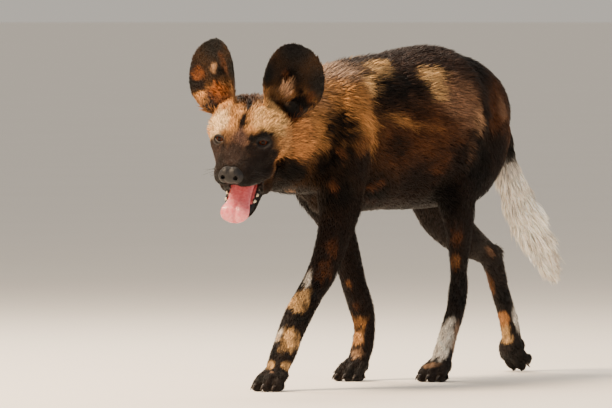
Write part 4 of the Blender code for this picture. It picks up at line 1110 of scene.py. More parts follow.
@dataclass
class Skin:
    """The one skin of the dog, sunk under its coat."""

    stance: Stance
    groom: Groom
    markings: Markings
    voxel: float = 0.0019
    overlap: float = 0.0004
    triangles: int = 185000
    depth_share: float = 1.20
    deepest: float = 0.011
    core_share: float = 0.9
    sole_height: float = 0.012
    eye_clear: tuple[float, float] = (0.017, 0.030)
    lid_edge: tuple[float, float] = (0.0085, 0.0115)
    mouth_floor: tuple[float, float] = (-0.0715, -0.067)
    swirl: float = 0.30
    length_spread: float = 0.22
    ear_fringe_length: float = 0.017
    ear_fringe_rise: float = 0.42

    def join(self) -> Any:
        """Joins copies of the flesh, each grown a little so that the thin cuts close."""
        whole = bmesh.new()
        for node in FLESH:
            part = bmesh.new()
            part.from_mesh(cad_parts[node].data)
            bmesh.ops.remove_doubles(part, verts=part.verts, dist=1e-6)
            part.normal_update()
            for vertex in part.verts:
                vertex.co += vertex.normal * self.overlap
            mesh = bpy.data.meshes.new("part")
            part.to_mesh(mesh)
            part.free()
            whole.from_mesh(mesh)
            bpy.data.meshes.remove(mesh)
        body = self.stance.body()
        path = [body @ Vector(row[:3]) for row in TAIL_PATH]
        sweep(whole, path, [row[3] * self.core_share for row in TAIL_PATH], 20)
        mesh = bpy.data.meshes.new("hide")
        whole.to_mesh(mesh)
        whole.free()
        return new_object("hide", mesh)

    def sink(self, obj: Any) -> None:
        """Moves the surface inwards by the depth of the coat, and not at all round the eyes."""
        mesh = obj.data
        points, normals = mesh_points(mesh), mesh_normals(mesh)
        comb = self.groom.comb(points)
        depth = np.minimum(comb["length"] * np.sin(comb["rise"]) * self.depth_share, self.deepest)
        for side in (1, -1):
            eye = np.array(self.stance.eye(side).to_translation())
            depth *= smooth_step(*self.eye_clear, np.linalg.norm(points - eye, axis=1))
        own = moved(self.stance.body().inverted(), points)
        on_tail = smooth_step(0.47, 0.43, own[:, 2]) * smooth_step(-0.655, -0.665, own[:, 0])
        depth *= 1 - on_tail * (np.abs(own[:, 1]) < 0.03)
        sunk = points - normals * depth[:, None]
        sunk[:, 2] = np.where(points[:, 2] < self.sole_height, points[:, 2], sunk[:, 2])
        mesh.vertices.foreach_set("co", sunk.ravel())
        mesh.update()

    def bare(self, points: np.ndarray) -> tuple[np.ndarray, np.ndarray]:
        """Where the skin is bare and where it is moist.

        Args:
            points: Places on the skin.

        Returns:
            The share of hair and the share of wetness at each point.
        """
        hair = np.ones(len(points))
        wet = np.zeros(len(points))
        for side in (1, -1):
            own = moved(self.stance.eye(side).inverted(), points)
            near = np.sqrt((own[:, 1] / 1.35) ** 2 + own[:, 2] ** 2)
            lid = (1 - smooth_step(*self.lid_edge, near)) * (own[:, 0] > 0)
            hair *= 1 - lid
            wet = np.maximum(wet, lid * 0.4)
        jaw = moved(self.stance.jaw().inverted(), points)
        head = moved(self.stance.head().inverted(), points)
        mouth_jaw = smooth_step(*self.mouth_floor, jaw[:, 2]) * (jaw[:, 0] > -0.035)
        mouth_jaw *= (1 - smooth_step(0.002, 0.006, head[:, 2] + 0.062)) * (np.abs(jaw[:, 1]) < 0.036)
        hair *= 1 - mouth_jaw
        wet = np.maximum(wet, mouth_jaw)
        sole = 1 - smooth_step(0.004, 0.007, points[:, 2])
        hair *= 1 - sole
        return hair, wet

    def dress(self, obj: Any) -> None:
        """Writes the lie, length, rise, density and colour of the hair on the skin."""
        mesh = obj.data
        points, normals = mesh_points(mesh), mesh_normals(mesh)
        comb = self.groom.comb(points)
        hair, wet = self.bare(points)
        own = moved(self.stance.body().inverted(), points)
        swirl = np.stack([mottle(own, 0.020, seed) for seed in (21, 22, 23)], axis=1)
        lie = comb["lie"] + self.swirl * swirl
        lie -= normals * (lie * normals).sum(axis=1)[:, None]
        lie /= np.maximum(np.linalg.norm(lie, axis=1), 1e-6)[:, None]
        length = comb["length"] * (1 + self.length_spread * mottle(own, 0.014, 24))
        rise = comb["rise"].copy()
        for side in (1, -1):
            cup = self.stance.ear(side)
            local = moved(cup.inverted(), points)
            facing = smooth_step(0.1, 0.5, normals @ np.array(cup.to_3x3().col[0]))
            from_middle = np.hypot(local[:, 1] / 0.018, (local[:, 2] - 0.045) / 0.034)
            fringe = facing * (1 - smooth_step(0.5, 1.1, from_middle))
            length += (self.ear_fringe_length - length) * fringe
            rise += (self.ear_fringe_rise - rise) * fringe
        reach = lie * (length * 0.5)[:, None]
        colour = self.markings.colour(points + reach, comb["colour"])
        gum = linear(Tone.GUM.value)
        jaw = moved(self.stance.jaw().inverted(), points)
        gum_bed = (np.abs(jaw[:, 1]) < 0.0225) & (jaw[:, 0] < 0.045) & (jaw[:, 0] > -0.06)
        inner = wet * gum_bed * (wet > 0.8)
        colour += (gum - colour) * inner[:, None]
        colour += (linear(Tone.BLACK.value) - colour) * (wet * (1 - inner))[:, None]
        store(mesh, "coat_lie", "FLOAT_VECTOR", lie)
        store(mesh, "coat_length", "FLOAT", length)
        store(mesh, "coat_rise", "FLOAT", rise)
        store(mesh, "coat_hair", "FLOAT", hair)
        store(mesh, "wet", "FLOAT", wet)
        store(mesh, "coat_colour", "FLOAT_COLOR", colour)

    def build(self) -> Any:
        """Makes the skin and gives it its finish."""
        obj = self.join()
        remesh(obj, self.voxel, 4)
        self.sink(obj)
        obj.data.calc_loop_triangles()
        reduce = obj.modifiers.new("reduce", "DECIMATE")
        reduce.ratio = min(1.0, self.triangles / len(obj.data.loop_triangles))
        soften = obj.modifiers.new("soften", "SMOOTH")
        soften.factor, soften.iterations = 0.4, 2
        apply_modifiers(obj)
        obj.name = obj.data.name = "skin"
        obj.data.polygons.foreach_set("use_smooth", [True] * len(obj.data.polygons))
        self.dress(obj)
        settle(obj, Slot.DARK_COAT, SkinFinish("hide_under_short_hair").build(), *FLESH, "tail")
        return obj


@dataclass(frozen=True)
class Tuft:
    """One tuft of hair, a unit long and a unit wide: flat, tapered and closed."""

    name: str
    bend: float
    stations: tuple[tuple[float, float, float], ...]
    ridge: float = 0.016

    def build(self) -> Any:
        """Makes the tuft along +X, with its root just below the skin."""
        bm = bmesh.new()
        along_of = {}
        rings = []
        for along, wide, height in self.stations[:-1]:
            side = self.bend * along**2
            top = height + self.ridge * (1.1 - along)
            spots = ((side - wide / 2, height), (side + wide / 2, height), (side, top))
            ring = [bm.verts.new((along, across, up)) for across, up in spots]
            rings.append(ring)
            for vertex, u in zip(ring, (0.0, 1.0, 0.5)):
                along_of[vertex] = (along, u)
        along, _, height = self.stations[-1]
        tip = bm.verts.new((along, self.bend * along**2, height))
        along_of[tip] = (1.0, 0.5)
        bm.faces.new((rings[0][0], rings[0][2], rings[0][1]))
        for ring, following in zip(rings, rings[1:]):
            for k in range(3):
                j = (k + 1) % 3
                bm.faces.new((ring[k], ring[j], following[j], following[k]))
        for k in range(3):
            bm.faces.new((rings[-1][k], rings[-1][(k + 1) % 3], tip))
        bmesh.ops.triangulate(bm, faces=bm.faces)
        bmesh.ops.recalc_face_normals(bm, faces=bm.faces)
        bm.verts.index_update()
        table = {vertex.index: value for vertex, value in along_of.items()}
        mesh = bpy.data.meshes.new(self.name)
        bm.to_mesh(mesh)
        bm.free()
        mesh.polygons.foreach_set("use_smooth", [True] * len(mesh.polygons))
        store(mesh, "along", "FLOAT", np.array([table[i][0] for i in range(len(table))]))
        corners = np.array([table[loop.vertex_index][::-1] for loop in mesh.loops])
        store(mesh, "tuft_uv", "FLOAT2", corners, "CORNER")
        return new_object(self.name, mesh)


# Stations of a tuft from root to tip: the share of its length, its width and its height.
SHORT_TUFT = ((0.0, 0.75, -0.03), (0.5, 1.0, 0.075), (1.0, 0.0, 0.03))
LONG_TUFT = ((0.0, 0.6, -0.02), (0.3, 1.0, 0.065), (0.68, 0.7, 0.080), (1.0, 0.0, 0.0))


@dataclass
class Coat:
    """The tree of Geometry Nodes that grows tufts on a stretch of skin."""

    shades: tuple[float, float] = (0.62, 1.38)
    rises: tuple[float, float] = (-1.35, -0.65)
    rolls: tuple[float, float] = (-0.35, 0.35)
    lengths: tuple[float, float] = (0.72, 1.22)
    widths: tuple[float, float] = (0.75, 1.3)
    patch_size: float = 0.003
    group: Any = None

    def build(self) -> Any:
        """Makes the tree once.

        Returns:
            The node group.
        """
        tree = bpy.data.node_groups.new("coat_of_tufts", "GeometryNodeTree")
        face = tree.interface
        face.new_socket("Skin", in_out="INPUT", socket_type="NodeSocketGeometry")
        for name in ("Straight tuft", "Left tuft", "Right tuft"):
            face.new_socket(name, in_out="INPUT", socket_type="NodeSocketObject")
        for name in ("Tufts per square metre", "Least spacing", "Width", "Width per length", "Unevenness"):
            face.new_socket(name, in_out="INPUT", socket_type="NodeSocketFloat")
        face.new_socket("Seed", in_out="INPUT", socket_type="NodeSocketInt")
        face.new_socket("Finish", in_out="INPUT", socket_type="NodeSocketMaterial")
        face.new_socket("Coat", in_out="OUTPUT", socket_type="NodeSocketGeometry")
        given = add_node(tree, "NodeGroupInput").outputs

        def named(name: str, kind: str = "FLOAT") -> Any:
            """Reads a named attribute."""
            node = add_node(tree, "GeometryNodeInputNamedAttribute", {"Name": name}, data_type=kind)
            return node.outputs[0]

        def chance(spread: tuple[float, float], salt: int) -> Any:
            """A random value for each tuft."""
            seed = add_node(tree, "ShaderNodeMath", {0: given["Seed"], 1: float(salt)}, operation="ADD")
            node = add_node(tree, "FunctionNodeRandomValue", {"Seed": seed.outputs[0]}, data_type="FLOAT")
            node.inputs[2].default_value, node.inputs[3].default_value = spread
            return node.outputs[1]

        def times(first: Any, second: Any) -> Any:
            """The product of two values."""
            return add_node(tree, "ShaderNodeMath", {0: first, 1: second}, operation="MULTIPLY").outputs[0]

        points = add_node(
            tree,
            "GeometryNodeDistributePointsOnFaces",
            {
                "Mesh": given["Skin"],
                "Distance Min": given["Least spacing"],
                "Density Max": given["Tufts per square metre"],
                "Density Factor": named("coat_hair"),
                "Seed": given["Seed"],
            },
            distribute_method="POISSON",
        )
        shaded = add_node(
            tree,
            "GeometryNodeStoreNamedAttribute",
            {"Geometry": points.outputs["Points"], "Name": "shade", "Value": chance(self.shades, 1)},
            data_type="FLOAT",
            domain="POINT",
        )
        upright = add_node(
            tree, "FunctionNodeAlignRotationToVector", {"Vector": points.outputs["Normal"]}, axis="Z"
        )
        laid = add_node(
            tree,
            "FunctionNodeAlignRotationToVector",
            {"Rotation": upright.outputs[0], "Vector": named("coat_lie", "FLOAT_VECTOR")},
            axis="X",
            pivot_axis="Z",
        )
        rise = times(named("coat_rise"), chance(self.rises, 2))
        yaw = times(chance((-1.0, 1.0), 3), given["Unevenness"])
        lift = add_node(tree, "ShaderNodeCombineXYZ", {"X": chance(self.rolls, 7), "Y": rise, "Z": yaw})
        lift = add_node(tree, "FunctionNodeEulerToRotation", {"Euler": lift.outputs[0]})
        stood = add_node(
            tree,
            "FunctionNodeRotateRotation",
            {"Rotation": laid.outputs[0], "Rotate By": lift.outputs[0]},
            rotation_space="LOCAL",
        )
        length = times(named("coat_length"), chance(self.lengths, 4))
        wide = add_node(
            tree,
            "ShaderNodeMath",
            {0: length, 1: given["Width per length"], 2: given["Width"]},
            operation="MULTIPLY_ADD",
        )
        wide = times(wide.outputs[0], chance(self.widths, 5))
        size = add_node(tree, "ShaderNodeCombineXYZ", {"X": length, "Y": wide, "Z": length})
        kinds = add_node(tree, "GeometryNodeJoinGeometry")
        for name in ("Straight tuft", "Left tuft", "Right tuft"):
            info = add_node(tree, "GeometryNodeObjectInfo", {"Object": given[name]})
            single = add_node(tree, "GeometryNodeGeometryToInstance", {0: info.outputs["Geometry"]})
            tree.links.new(single.outputs[0], kinds.inputs[0])
        pick = add_node(tree, "FunctionNodeRandomValue", {"Seed": given["Seed"]}, data_type="INT")
        pick.inputs[4].default_value, pick.inputs[5].default_value = 0, 2
        grown = add_node(
            tree,
            "GeometryNodeInstanceOnPoints",
            {
                "Points": shaded.outputs[0],
                "Instance": kinds.outputs[0],
                "Pick Instance": True,
                "Instance Index": pick.outputs[2],
                "Rotation": stood.outputs[0],
                "Scale": size.outputs[0],
            },
        )
        solid = add_node(tree, "GeometryNodeRealizeInstances", {0: grown.outputs[0]})
        own_place = named("tuft_uv", "FLOAT_VECTOR")
        root_place = named("root_uv", "FLOAT_VECTOR")
        patch = add_node(
            tree,
            "ShaderNodeVectorMath",
            {0: own_place, 1: (self.patch_size, self.patch_size, 0.0), 2: root_place},
            operation="MULTIPLY_ADD",
        )
        flow = add_node(
            tree,
            "GeometryNodeStoreNamedAttribute",
            {"Geometry": solid.outputs[0], "Name": "OFBake", "Value": patch.outputs[0]},
            data_type="FLOAT2",
            domain="CORNER",
        ).outputs[0]
        for name in ("root_uv", "tuft_uv", "coat_lie", "coat_length", "coat_rise", "coat_hair", "wet"):
            flow = add_node(tree, "GeometryNodeRemoveAttribute", {"Geometry": flow, "Name": name}).outputs[0]
        dressed = add_node(tree, "GeometryNodeSetMaterial", {"Geometry": flow, "Material": given["Finish"]})
        out = add_node(tree, "NodeGroupOutput")
        tree.links.new(dressed.outputs[0], out.inputs[0])
        self.group = tree
        return tree

    def grow(self, skin: Any, values: dict[str, Any]) -> Any:
        """Grows the tufts on a stretch of skin.

        Args:
            skin: The stretch, which is removed afterwards.
            values: The tree's inputs by name.

        Returns:
            The plain mesh of the tufts.
        """
        modifier = skin.modifiers.new("coat", "NODES")
        modifier.node_group = self.group
        for item in self.group.interface.items_tree:
            if item.in_out == "INPUT" and item.name in values:
                modifier[item.identifier] = values[item.name]
        graph = bpy.context.evaluated_depsgraph_get()
        mesh = bpy.data.meshes.new_from_object(skin.evaluated_get(graph))
        skin.modifiers.clear()
        bpy.data.objects.remove(skin)
        return mesh


class Unwrap(Enum):
    """How a stretch of skin is laid flat for its roots."""

    ROUND_BODY = 0
    ROUND_HEAD = 1
    EARS = 2
    LEGS = 3
    TAIL = 4


@dataclass(frozen=True)
class Stretch:
    """A stretch of the coat: the nodes that it covers, its span along the body and its tufts."""

    name: str
    nodes: tuple[str, ...]
    tufts: int
    slot: Slot
    unwrap: Unwrap
    back: float = -2.0
    front: float = 2.0
    long: bool = False
    width: float = 0.0010
    width_per_length: float = 0.045
    unevenness: float = 0.22

    def covers(self, names: np.ndarray, points: np.ndarray) -> np.ndarray:
        """Which faces belong to the stretch, from their nearest node and their place."""
        inside = np.isin(names, self.nodes)
        return inside & (points[:, 0] >= self.back) & (points[:, 0] < self.front)


TRUNK = ("torso",)
STRETCHES = (
    Stretch("coat_neck", ("neck",), 16500, Slot.OCHRE_COAT, Unwrap.ROUND_BODY, unevenness=0.28),
    Stretch("coat_shoulder", TRUNK, 17000, Slot.DARK_COAT, Unwrap.ROUND_BODY, -0.27, 2.0, unevenness=0.28),
    Stretch("coat_flank", TRUNK, 19000, Slot.DARK_COAT, Unwrap.ROUND_BODY, -0.42, -0.27, unevenness=0.28),
    Stretch("coat_rump", TRUNK, 17000, Slot.DARK_COAT, Unwrap.ROUND_BODY, -2.0, -0.42, unevenness=0.25),
    Stretch("coat_face", ("head", "lower_jaw"), 19300, Slot.OCHRE_COAT, Unwrap.ROUND_HEAD, width=0.0009),
    Stretch("coat_ears", ("ear_left", "ear_right"), 12000, Slot.EAR_COAT, Unwrap.EARS, width=0.0009),
    Stretch(
        "coat_forelegs",
        ("foreleg_left", "foreleg_right", "forepaw_left", "forepaw_right"),
        15000,
        Slot.LEG_COAT,
        Unwrap.LEGS,
    ),
    Stretch(
        "coat_hindlegs",
        ("hindleg_left", "hindleg_right", "hindpaw_left", "hindpaw_right"),
        18000,
        Slot.LEG_COAT,
        Unwrap.LEGS,
    ),
    Stretch(
        "tail_brush",
        ("tail",),
        11800,
        Slot.PALE_COAT,
        Unwrap.TAIL,
        long=True,
        width=0.0016,
        width_per_length=0.03,
    ),
)


@dataclass
class Fur:
    """The whole coat, stretch by stretch."""

    stance: Stance
    skin: Any
    floor_clearance: float = 0.0004
    extra_points: float = 1.12
    spacing_share: float = 0.35

    def nearest(self, centres: np.ndarray) -> np.ndarray:
        """The name of the CAD node nearest to each place."""
        corners, faces, owners = [], [], []
        for node in (*FLESH, "tail"):
            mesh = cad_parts[node].data
            base = len(corners)
            corners += [vertex.co.copy() for vertex in mesh.vertices]
            faces += [[base + i for i in polygon.vertices] for polygon in mesh.polygons]
            owners += [node] * len(mesh.polygons)
        tree = BVHTree.FromPolygons(corners, faces)
        return np.array([owners[tree.find_nearest(centre)[2]] for centre in centres.tolist()])

    def flat(self, stretch: Stretch, corners: np.ndarray, normals: np.ndarray) -> np.ndarray:
        """Lays the corners of a stretch's faces flat.

        Args:
            stretch: The stretch.
            corners: The corners of each triangle, as faces by 3 by 3.
            normals: The direction of each face.

        Returns:
            U and V of each corner, as faces by 3 by 2.
        """
        places = corners.reshape(-1, 3)
        own = moved(self.stance.body().inverted(), places)
        offset, scale = 0.0, 1.0
        if stretch.unwrap is Unwrap.ROUND_BODY:
            u = np.arctan2(own[:, 1], own[:, 2] - 0.45)
            v = own[:, 0]
        elif stretch.unwrap is Unwrap.ROUND_HEAD:
            local = moved(self.stance.head().inverted(), places)
            u = np.arctan2(local[:, 1], local[:, 2] + 0.02)
            v = local[:, 0]
        elif stretch.unwrap is Unwrap.EARS:
            left = np.repeat(own.reshape(-1, 3, 3)[:, :, 1].mean(axis=1) > 0.045, 3)
            locals_ = [moved(self.stance.ear(side).inverted(), places) for side in (1, -1)]
            local = np.where(left[:, None], locals_[0], locals_[1])
            facing = [np.array(self.stance.ear(side).to_3x3().col[0]) for side in (1, -1)]
            toward = np.where(left, np.repeat(normals @ facing[0], 3), np.repeat(normals @ facing[1], 3))
            u = (np.clip(local[:, 1], -0.07, 0.07) + 0.07) / 0.14 * 0.23
            u = u + 0.5 * left + 0.25 * (toward > 0)
            v = local[:, 2]
            scale = 2 * math.pi
            u = u * scale - math.pi
        elif stretch.unwrap is Unwrap.LEGS:
            kind = "foreleg" if stretch.name == "coat_forelegs" else "hindleg"
            left = np.repeat(own.reshape(-1, 3, 3)[:, :, 1].mean(axis=1) > 0, 3)
            middles = []
            for side in ("left", "right"):
                path = np.array(LEG_PATHS[f"{kind}_{side}"])[::-1]
                middle = [np.interp(own[:, 2], path[:, 2], path[:, k]) for k in (0, 1)]
                middles.append(np.stack(middle, axis=1))
            middle = np.where(left[:, None], middles[0], middles[1])
            u = np.arctan2(own[:, 1] - middle[:, 1], own[:, 0] - middle[:, 0])
            v = own[:, 2]
            offset, scale = left * 0.5, 0.5
        else:
            path = np.array(TAIL_PATH)[::-1]
            middle = np.interp(own[:, 2], path[:, 2], path[:, 0])
            u = np.arctan2(own[:, 1], own[:, 0] - middle)
            v = own[:, 2]
        u = (u / (2 * math.pi) + 0.5).reshape(-1, 3)
        wraps = (u.max(axis=1) - u.min(axis=1) > 0.5)[:, None] & (u < 0.5)
        u = u + wraps
        if stretch.unwrap is Unwrap.LEGS:
            u = u * scale + np.reshape(offset, (-1, 3))
        v = ((v - v.min()) / (v.max() - v.min())).reshape(-1, 3)
        return np.stack([u * 0.94 + 0.01, v * 0.97 + 0.01], axis=2)

    def cut(self, stretch: Stretch, faces: np.ndarray, corners: np.ndarray, normals: np.ndarray) -> Any:
        """Copies the faces of one stretch out of the skin, with what the hair needs to know."""
        used, index = np.unique(faces, return_inverse=True)
        source = self.skin.data
        points = mesh_points(source)
        mesh = bpy.data.meshes.new(stretch.name)
        mesh.from_pydata(points[used].tolist(), [], index.reshape(-1, 3).tolist())
        for name, kind, key, size in (
            ("coat_lie", "FLOAT_VECTOR", "vector", 3),
            ("coat_length", "FLOAT", "value", 1),
            ("coat_rise", "FLOAT", "value", 1),
            ("coat_hair", "FLOAT", "value", 1),
            ("coat_colour", "FLOAT_COLOR", "color", 4),
        ):
            flat = np.zeros(len(source.vertices) * size, np.float32)
            source.attributes[name].data.foreach_get(key, flat)
            values = flat.reshape(-1, size)[used]
            store(mesh, name, kind, values[:, :3] if size == 4 else values)
        uv = self.flat(stretch, corners, normals)
        store(mesh, "root_uv", "FLOAT2", uv.reshape(-1, 2), "CORNER")
        return new_object(stretch.name, mesh)

    def build(self) -> list[Any]:
        """Grows every stretch of the coat."""
        source = self.skin.data
        points = mesh_points(source)
        source.calc_loop_triangles()
        faces = np.zeros(len(source.loop_triangles) * 3, np.int64)
        source.loop_triangles.foreach_get("vertices", faces)
        faces = faces.reshape(-1, 3)
        corners = points[faces]
        centres = corners.mean(axis=1)
        cross = np.cross(corners[:, 1] - corners[:, 0], corners[:, 2] - corners[:, 0])
        double_area = np.linalg.norm(cross, axis=1)
        normals = cross / np.maximum(double_area, 1e-12)[:, None]
        names = self.nearest(centres)
        own = moved(self.stance.body().inverted(), centres)
        hair = np.zeros(len(points), np.float32)
        source.attributes["coat_hair"].data.foreach_get("value", hair)
        tufts = {}
        for long, stations in ((False, SHORT_TUFT), (True, LONG_TUFT)):
            kind = "long" if long else "short"
            tufts[long] = [
                Tuft(f"{kind}_{word}", bend, stations).build()
                for word, bend in (("straight", 0.0), ("left", 0.10), ("right", -0.10))
            ]
        coat = Coat()
        coat.build()
        finish = HairFinish("dog_hair").build()
        made = []
        for number, stretch in enumerate(STRETCHES):
            inside = stretch.covers(names, own)
            area = (double_area[inside] / 2 * hair[faces[inside]].mean(axis=1)).sum()
            density = stretch.tufts / area
            emitter = self.cut(stretch, faces[inside], corners[inside], normals[inside])
            straight, left, right = tufts[stretch.long]
            mesh = coat.grow(
                emitter,
                {
                    "Straight tuft": straight,
                    "Left tuft": left,
                    "Right tuft": right,
                    "Tufts per square metre": density * self.extra_points,
                    "Least spacing": self.spacing_share / math.sqrt(density),
                    "Width": stretch.width,
                    "Width per length": stretch.width_per_length,
                    "Unevenness": stretch.unevenness,
                    "Seed": number + 1,
                    "Finish": finish,
                },
            )
            grown = mesh_points(mesh)
            grown[:, 2] = np.maximum(grown[:, 2], self.floor_clearance)
            mesh.vertices.foreach_set("co", grown.ravel())
            piece = new_object(stretch.name, mesh)
            made.append(settle(piece, stretch.slot, None))
            LOG.info("%s covers %.4f square metres", stretch.name, area)
        for tuft in tufts[False] + tufts[True]:
            bpy.data.objects.remove(tuft)
        return made


@dataclass
class Eyes:
    """Both eyeballs and the dark rims of their lids."""

    stance: Stance
    lid_reach: float = 0.0126
    lid_radius: float = 0.0023
    opening_half_width: float = 0.0101
    opening_half_height: float = 0.0068
    opening_steps: int = 48
    cornea: float = 0.0007

    def ball(self, side: int, name: str, material: Any) -> Any:
        """One eyeball with its cornea.

        Args:
            side: 1 for the left eye and -1 for the right.
            name: "left" or "right".
            material: The eye's finish.

        Returns:
            The piece.
        """
        bm = bmesh.new()
        bmesh.ops.create_uvsphere(bm, u_segments=48, v_segments=32, radius=1)
        pole = turned(90, "Y")
        angles = []
        for vertex in bm.verts:
            direction = (pole @ vertex.co).normalized()
            angle = math.acos(max(-1.0, min(1.0, direction.x)))
            bulge = self.cornea * max(0.0, math.cos(angle * 1.9)) if angle < 0.8 else 0.0
            vertex.co = self.stance.eye(side) @ (direction * (EYE_RADIUS + bulge))
            angles.append(angle / (math.pi / 2))
        obj = from_bmesh(f"wet_eye_{name}", bm)
        store(obj.data, "gaze_angle", "FLOAT", np.array(angles))
        return settle(obj, Slot.EYE, material, f"eye_{name}")

    def lids(self, material: Any) -> Any:
        """The rims of both eyes' lids, as closed tubes along an almond."""
        bm = bmesh.new()
        steps = self.opening_steps
        for side in (1, -1):
            path = []
            for k in range(steps):
                angle = 2 * math.pi * k / steps
                c, s = math.cos(angle), math.sin(angle)
                y = self.opening_half_width * c
                z = self.opening_half_height * s * (1 - 0.22 * abs(c)) - 0.0002
                x = math.sqrt(self.lid_reach**2 - y * y - z * z)
                path.append(self.stance.eye(side) @ Vector((x, y, z)))
            sweep(bm, path, [self.lid_radius] * steps, 10, True)
        return settle(from_bmesh("eyelids", bm), Slot.EYE, material)

    def build(self) -> None:
        """Makes the four pieces."""
        finish = EyeFinish("wet_amber_eye").build()
        self.ball(1, "left", finish)
        self.ball(-1, "right", finish)
        rim = GrainedFinish("moist_lid_skin", "#080605", "#120d0b", 0.50, 0.0006, 0.15)
        self.lids(rim.build())


@dataclass
class Muzzle:
    """The nose, tongue, cheek teeth and whiskers."""

    stance: Stance
    groove_depth: float = 0.0022
    groove_width: float = 0.0035
    teeth_a_side: int = 4
    tooth_height: float = 0.0046
    whiskers_a_side: int = 10

    def refined(self, node: str, name: str, voxel: float, rounds: int) -> Any:
        """A finer and smoother copy of a CAD node."""
        bm = bmesh.new()
        bm.from_mesh(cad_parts[node].data)
        bmesh.ops.remove_doubles(bm, verts=bm.verts, dist=1e-6)
        obj = from_bmesh(name, bm)
        remesh(obj, voxel, rounds)
        obj.data.polygons.foreach_set("use_smooth", [True] * len(obj.data.polygons))
        obj.name = obj.data.name = name
        return obj

    def nose(self) -> None:
        """The nose pad."""
        finish = GrainedFinish("moist_nose_leather", "#0b0a0b", "#191718", 0.60, 0.0014, 0.20, 0.0)
        settle(self.refined("nose", "nose_pad", 0.0007, 4), Slot.NOSE_LEATHER, finish.build(), "nose")

    def tongue(self) -> None:
        """The tongue, with its groove."""
        obj = self.refined("tongue", "wet_tongue", 0.0009, 8)
        mesh = obj.data
        points = mesh_points(mesh)
        own = moved(self.stance.jaw().inverted(), points)
        upper = mesh_normals(mesh) @ np.array(self.stance.jaw().to_3x3().col[2]) > -0.2
        groove = self.groove_depth * np.exp(-((own[:, 1] / self.groove_width) ** 2)) * upper
        points -= mesh_normals(mesh) * groove[:, None]
        mesh.vertices.foreach_set("co", points.ravel())
        mesh.update()
        finish = GrainedFinish("wet_tongue", "#cf6a74", "#e08c91", 0.30, 0.0012, 0.30, 0.5, 0.25)
        settle(obj, Slot.TONGUE, finish.build(), "tongue")

    def teeth(self) -> None:
        """The cheek teeth along the lower jaw."""
        bm = bmesh.new()
        place = self.stance.jaw()
        for side in (1, -1):
            for k in range(self.teeth_a_side):
                x = -0.004 + 0.042 * k / 3
                y = side * (0.0285 - 0.0045 * k / 3)
                height = self.tooth_height - 0.0004 * k
                path = [place @ Vector((x, y, -0.0655 + height * t)) for t in (0, 0.4, 0.8, 1.0)]
                sweep(bm, path, [0.0044, 0.0038, 0.0020, 0.0004], 8)
        finish = GrainedFinish("tooth_enamel", "#b3a487", "#d6cab0", 0.35, 0.003, 0.05, 0.15)
        settle(from_bmesh("cheek_teeth", bm), Slot.TONGUE, finish.build())

    def whiskers(self) -> None:
        """Whiskers on both sides of the muzzle."""
        rng = random.Random(5)
        bm = bmesh.new()
        place = self.stance.head()
        for side in (1, -1):
            for k in range(self.whiskers_a_side):
                root = Vector((0.066 - 0.006 * (k % 5), side * 0.030, -0.036 - 0.008 * (k // 5)))
                length = rng.uniform(0.020, 0.036)
                lean = Vector((rng.uniform(-0.7, -0.1), side * 1.0, rng.uniform(-0.5, 0.1))).normalized()
                path = []
                for t in (0, 0.35, 0.7, 1.0):
                    sag = Vector((-0.006, 0, -0.006)) * t * t
                    path.append(place @ (root + lean * (length * t - 0.004) + sag))
                sweep(bm, path, [0.00030, 0.00025, 0.00018, 0.00006], 5)
        finish = GrainedFinish("black_whisker", "#0a0807", "#171210", 0.4, 0.002, 0.0)
        settle(from_bmesh("whiskers", bm), Slot.OCHRE_COAT, finish.build())

    def build(self) -> None:
        """Makes every piece of the muzzle."""
        self.nose()
        self.tongue()
        self.teeth()
        self.whiskers()


@dataclass
class Claws:
    """The sixteen claws."""

    stance: Stance

    def build(self) -> None:
        """Makes them as one piece, curving down from the toes."""
        bm = bmesh.new()
        for name in PAWS:
            place = self.stance.paw(name)
            for side in (1, -1):
                for x, y, z in TOE_TIPS:
                    rows = (
                        (x - 0.002, z + 0.001),
                        (x + 0.004, z + 0.0012),
                        (x + 0.009, z - 0.0002),
                        (x + 0.013, z - 0.0040),
                        (x + 0.0162, z - 0.0088),
                    )
                    path = [place @ Vector((px, side * y, pz)) for px, pz in rows]
                    for spot in path:
                        spot.z = max(spot.z, 0.0025)
                    sweep(bm, path, [0.0030, 0.0027, 0.0022, 0.0015, 0.0005], 10)
        finish = GrainedFinish("dark_horn", "#1b1613", "#3a312b", 0.38, 0.002, 0.1)
        settle(from_bmesh("claws", bm), Slot.LEG_COAT, finish.build())


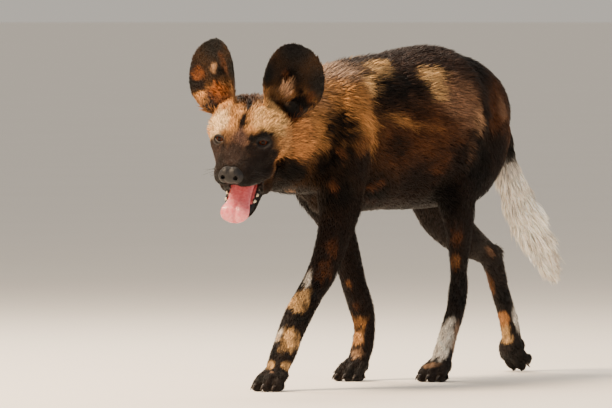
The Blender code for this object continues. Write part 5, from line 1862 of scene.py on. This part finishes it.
@dataclass
class Studio:
    """The floor, the camera and the soft lights."""

    stance: Stance
    azimuth: float = 130.0
    elevation: float = 1.5
    distance: float = 14.0
    focal: float = 469.4
    floor_reach: float = 300.0
    daylight: float = 0.62

    def area(self, name: str, direction: Vector, size: float, power: float, tone: str) -> None:
        """A soft area light that looks at the dog.

        Args:
            name: The light's name.
            direction: From the dog to the light, in metres.
            size: The width of its square.
            power: Its power in watts.
            tone: Its colour.
        """
        light = bpy.data.lights.new(name, "AREA")
        light.size, light.energy = size, power
        light.color = tuple(linear(tone))
        obj = bpy.data.objects.new(name, light)
        obj.location = self.target() + direction
        obj.rotation_euler = direction.to_track_quat("Z", "Y").to_euler()
        bpy.context.scene.collection.objects.link(obj)

    def target(self) -> Vector:
        """The point at the middle of the picture."""
        return self.stance.body() @ Vector((-0.12, 0, 0.320))

    def build(self) -> None:
        """Makes the floor, lights, world and camera."""
        bm = bmesh.new()
        bmesh.ops.create_grid(bm, x_segments=4, y_segments=4, size=self.floor_reach)
        floor = from_bmesh("floor", bm, False)
        floor.data.materials.append(FloorFinish("pale_floor").build())
        a, e = math.radians(self.azimuth), math.radians(self.elevation)
        back = Vector((math.sin(a) * math.cos(e), -math.cos(a) * math.cos(e), math.sin(e)))
        right = Vector((0, 0, 1)).cross(back).normalized()
        up = back.cross(right)
        self.area("key", back * 1.3 - right * 2.2 + up * 2.6, 1.1, 360, "#ffe0bb")
        self.area("fill", back * 2.2 + right * 2.0 + up * 0.8, 2.0, 18, "#e6ecff")
        self.area("rim", -back * 1.6 - right * 0.6 + up * 2.4, 1.6, 120, "#ffedd6")
        world = bpy.data.worlds.new("studio")
        world.use_nodes = True
        world.node_tree.nodes["Background"].inputs[0].default_value = (*linear("#f4ece0"), 1)
        world.node_tree.nodes["Background"].inputs[1].default_value = self.daylight
        bpy.context.scene.world = world
        data = bpy.data.cameras.new("camera")
        data.sensor_width, data.lens, data.clip_end = 36.0, self.focal, 200.0
        camera = bpy.data.objects.new("camera", data)
        turn = Matrix((right, up, back)).transposed().to_4x4()
        camera.matrix_world = Matrix.Translation(self.target() + back * self.distance) @ turn
        bpy.context.scene.collection.objects.link(camera)
        bpy.context.scene.camera = camera


def main() -> None:
    """Builds the dog piece by piece, and then the studio."""
    logging.basicConfig(level=logging.INFO, format="%(message)s")
    stance = Stance.from_solids()
    groom = Groom(stance)
    markings = Markings(stance)
    skin = Skin(stance, groom, markings).build()
    Fur(stance, skin).build()
    Eyes(stance).build()
    Muzzle(stance).build()
    Claws(stance).build()
    Studio(stance).build()


if __name__ == "__main__":
    main()
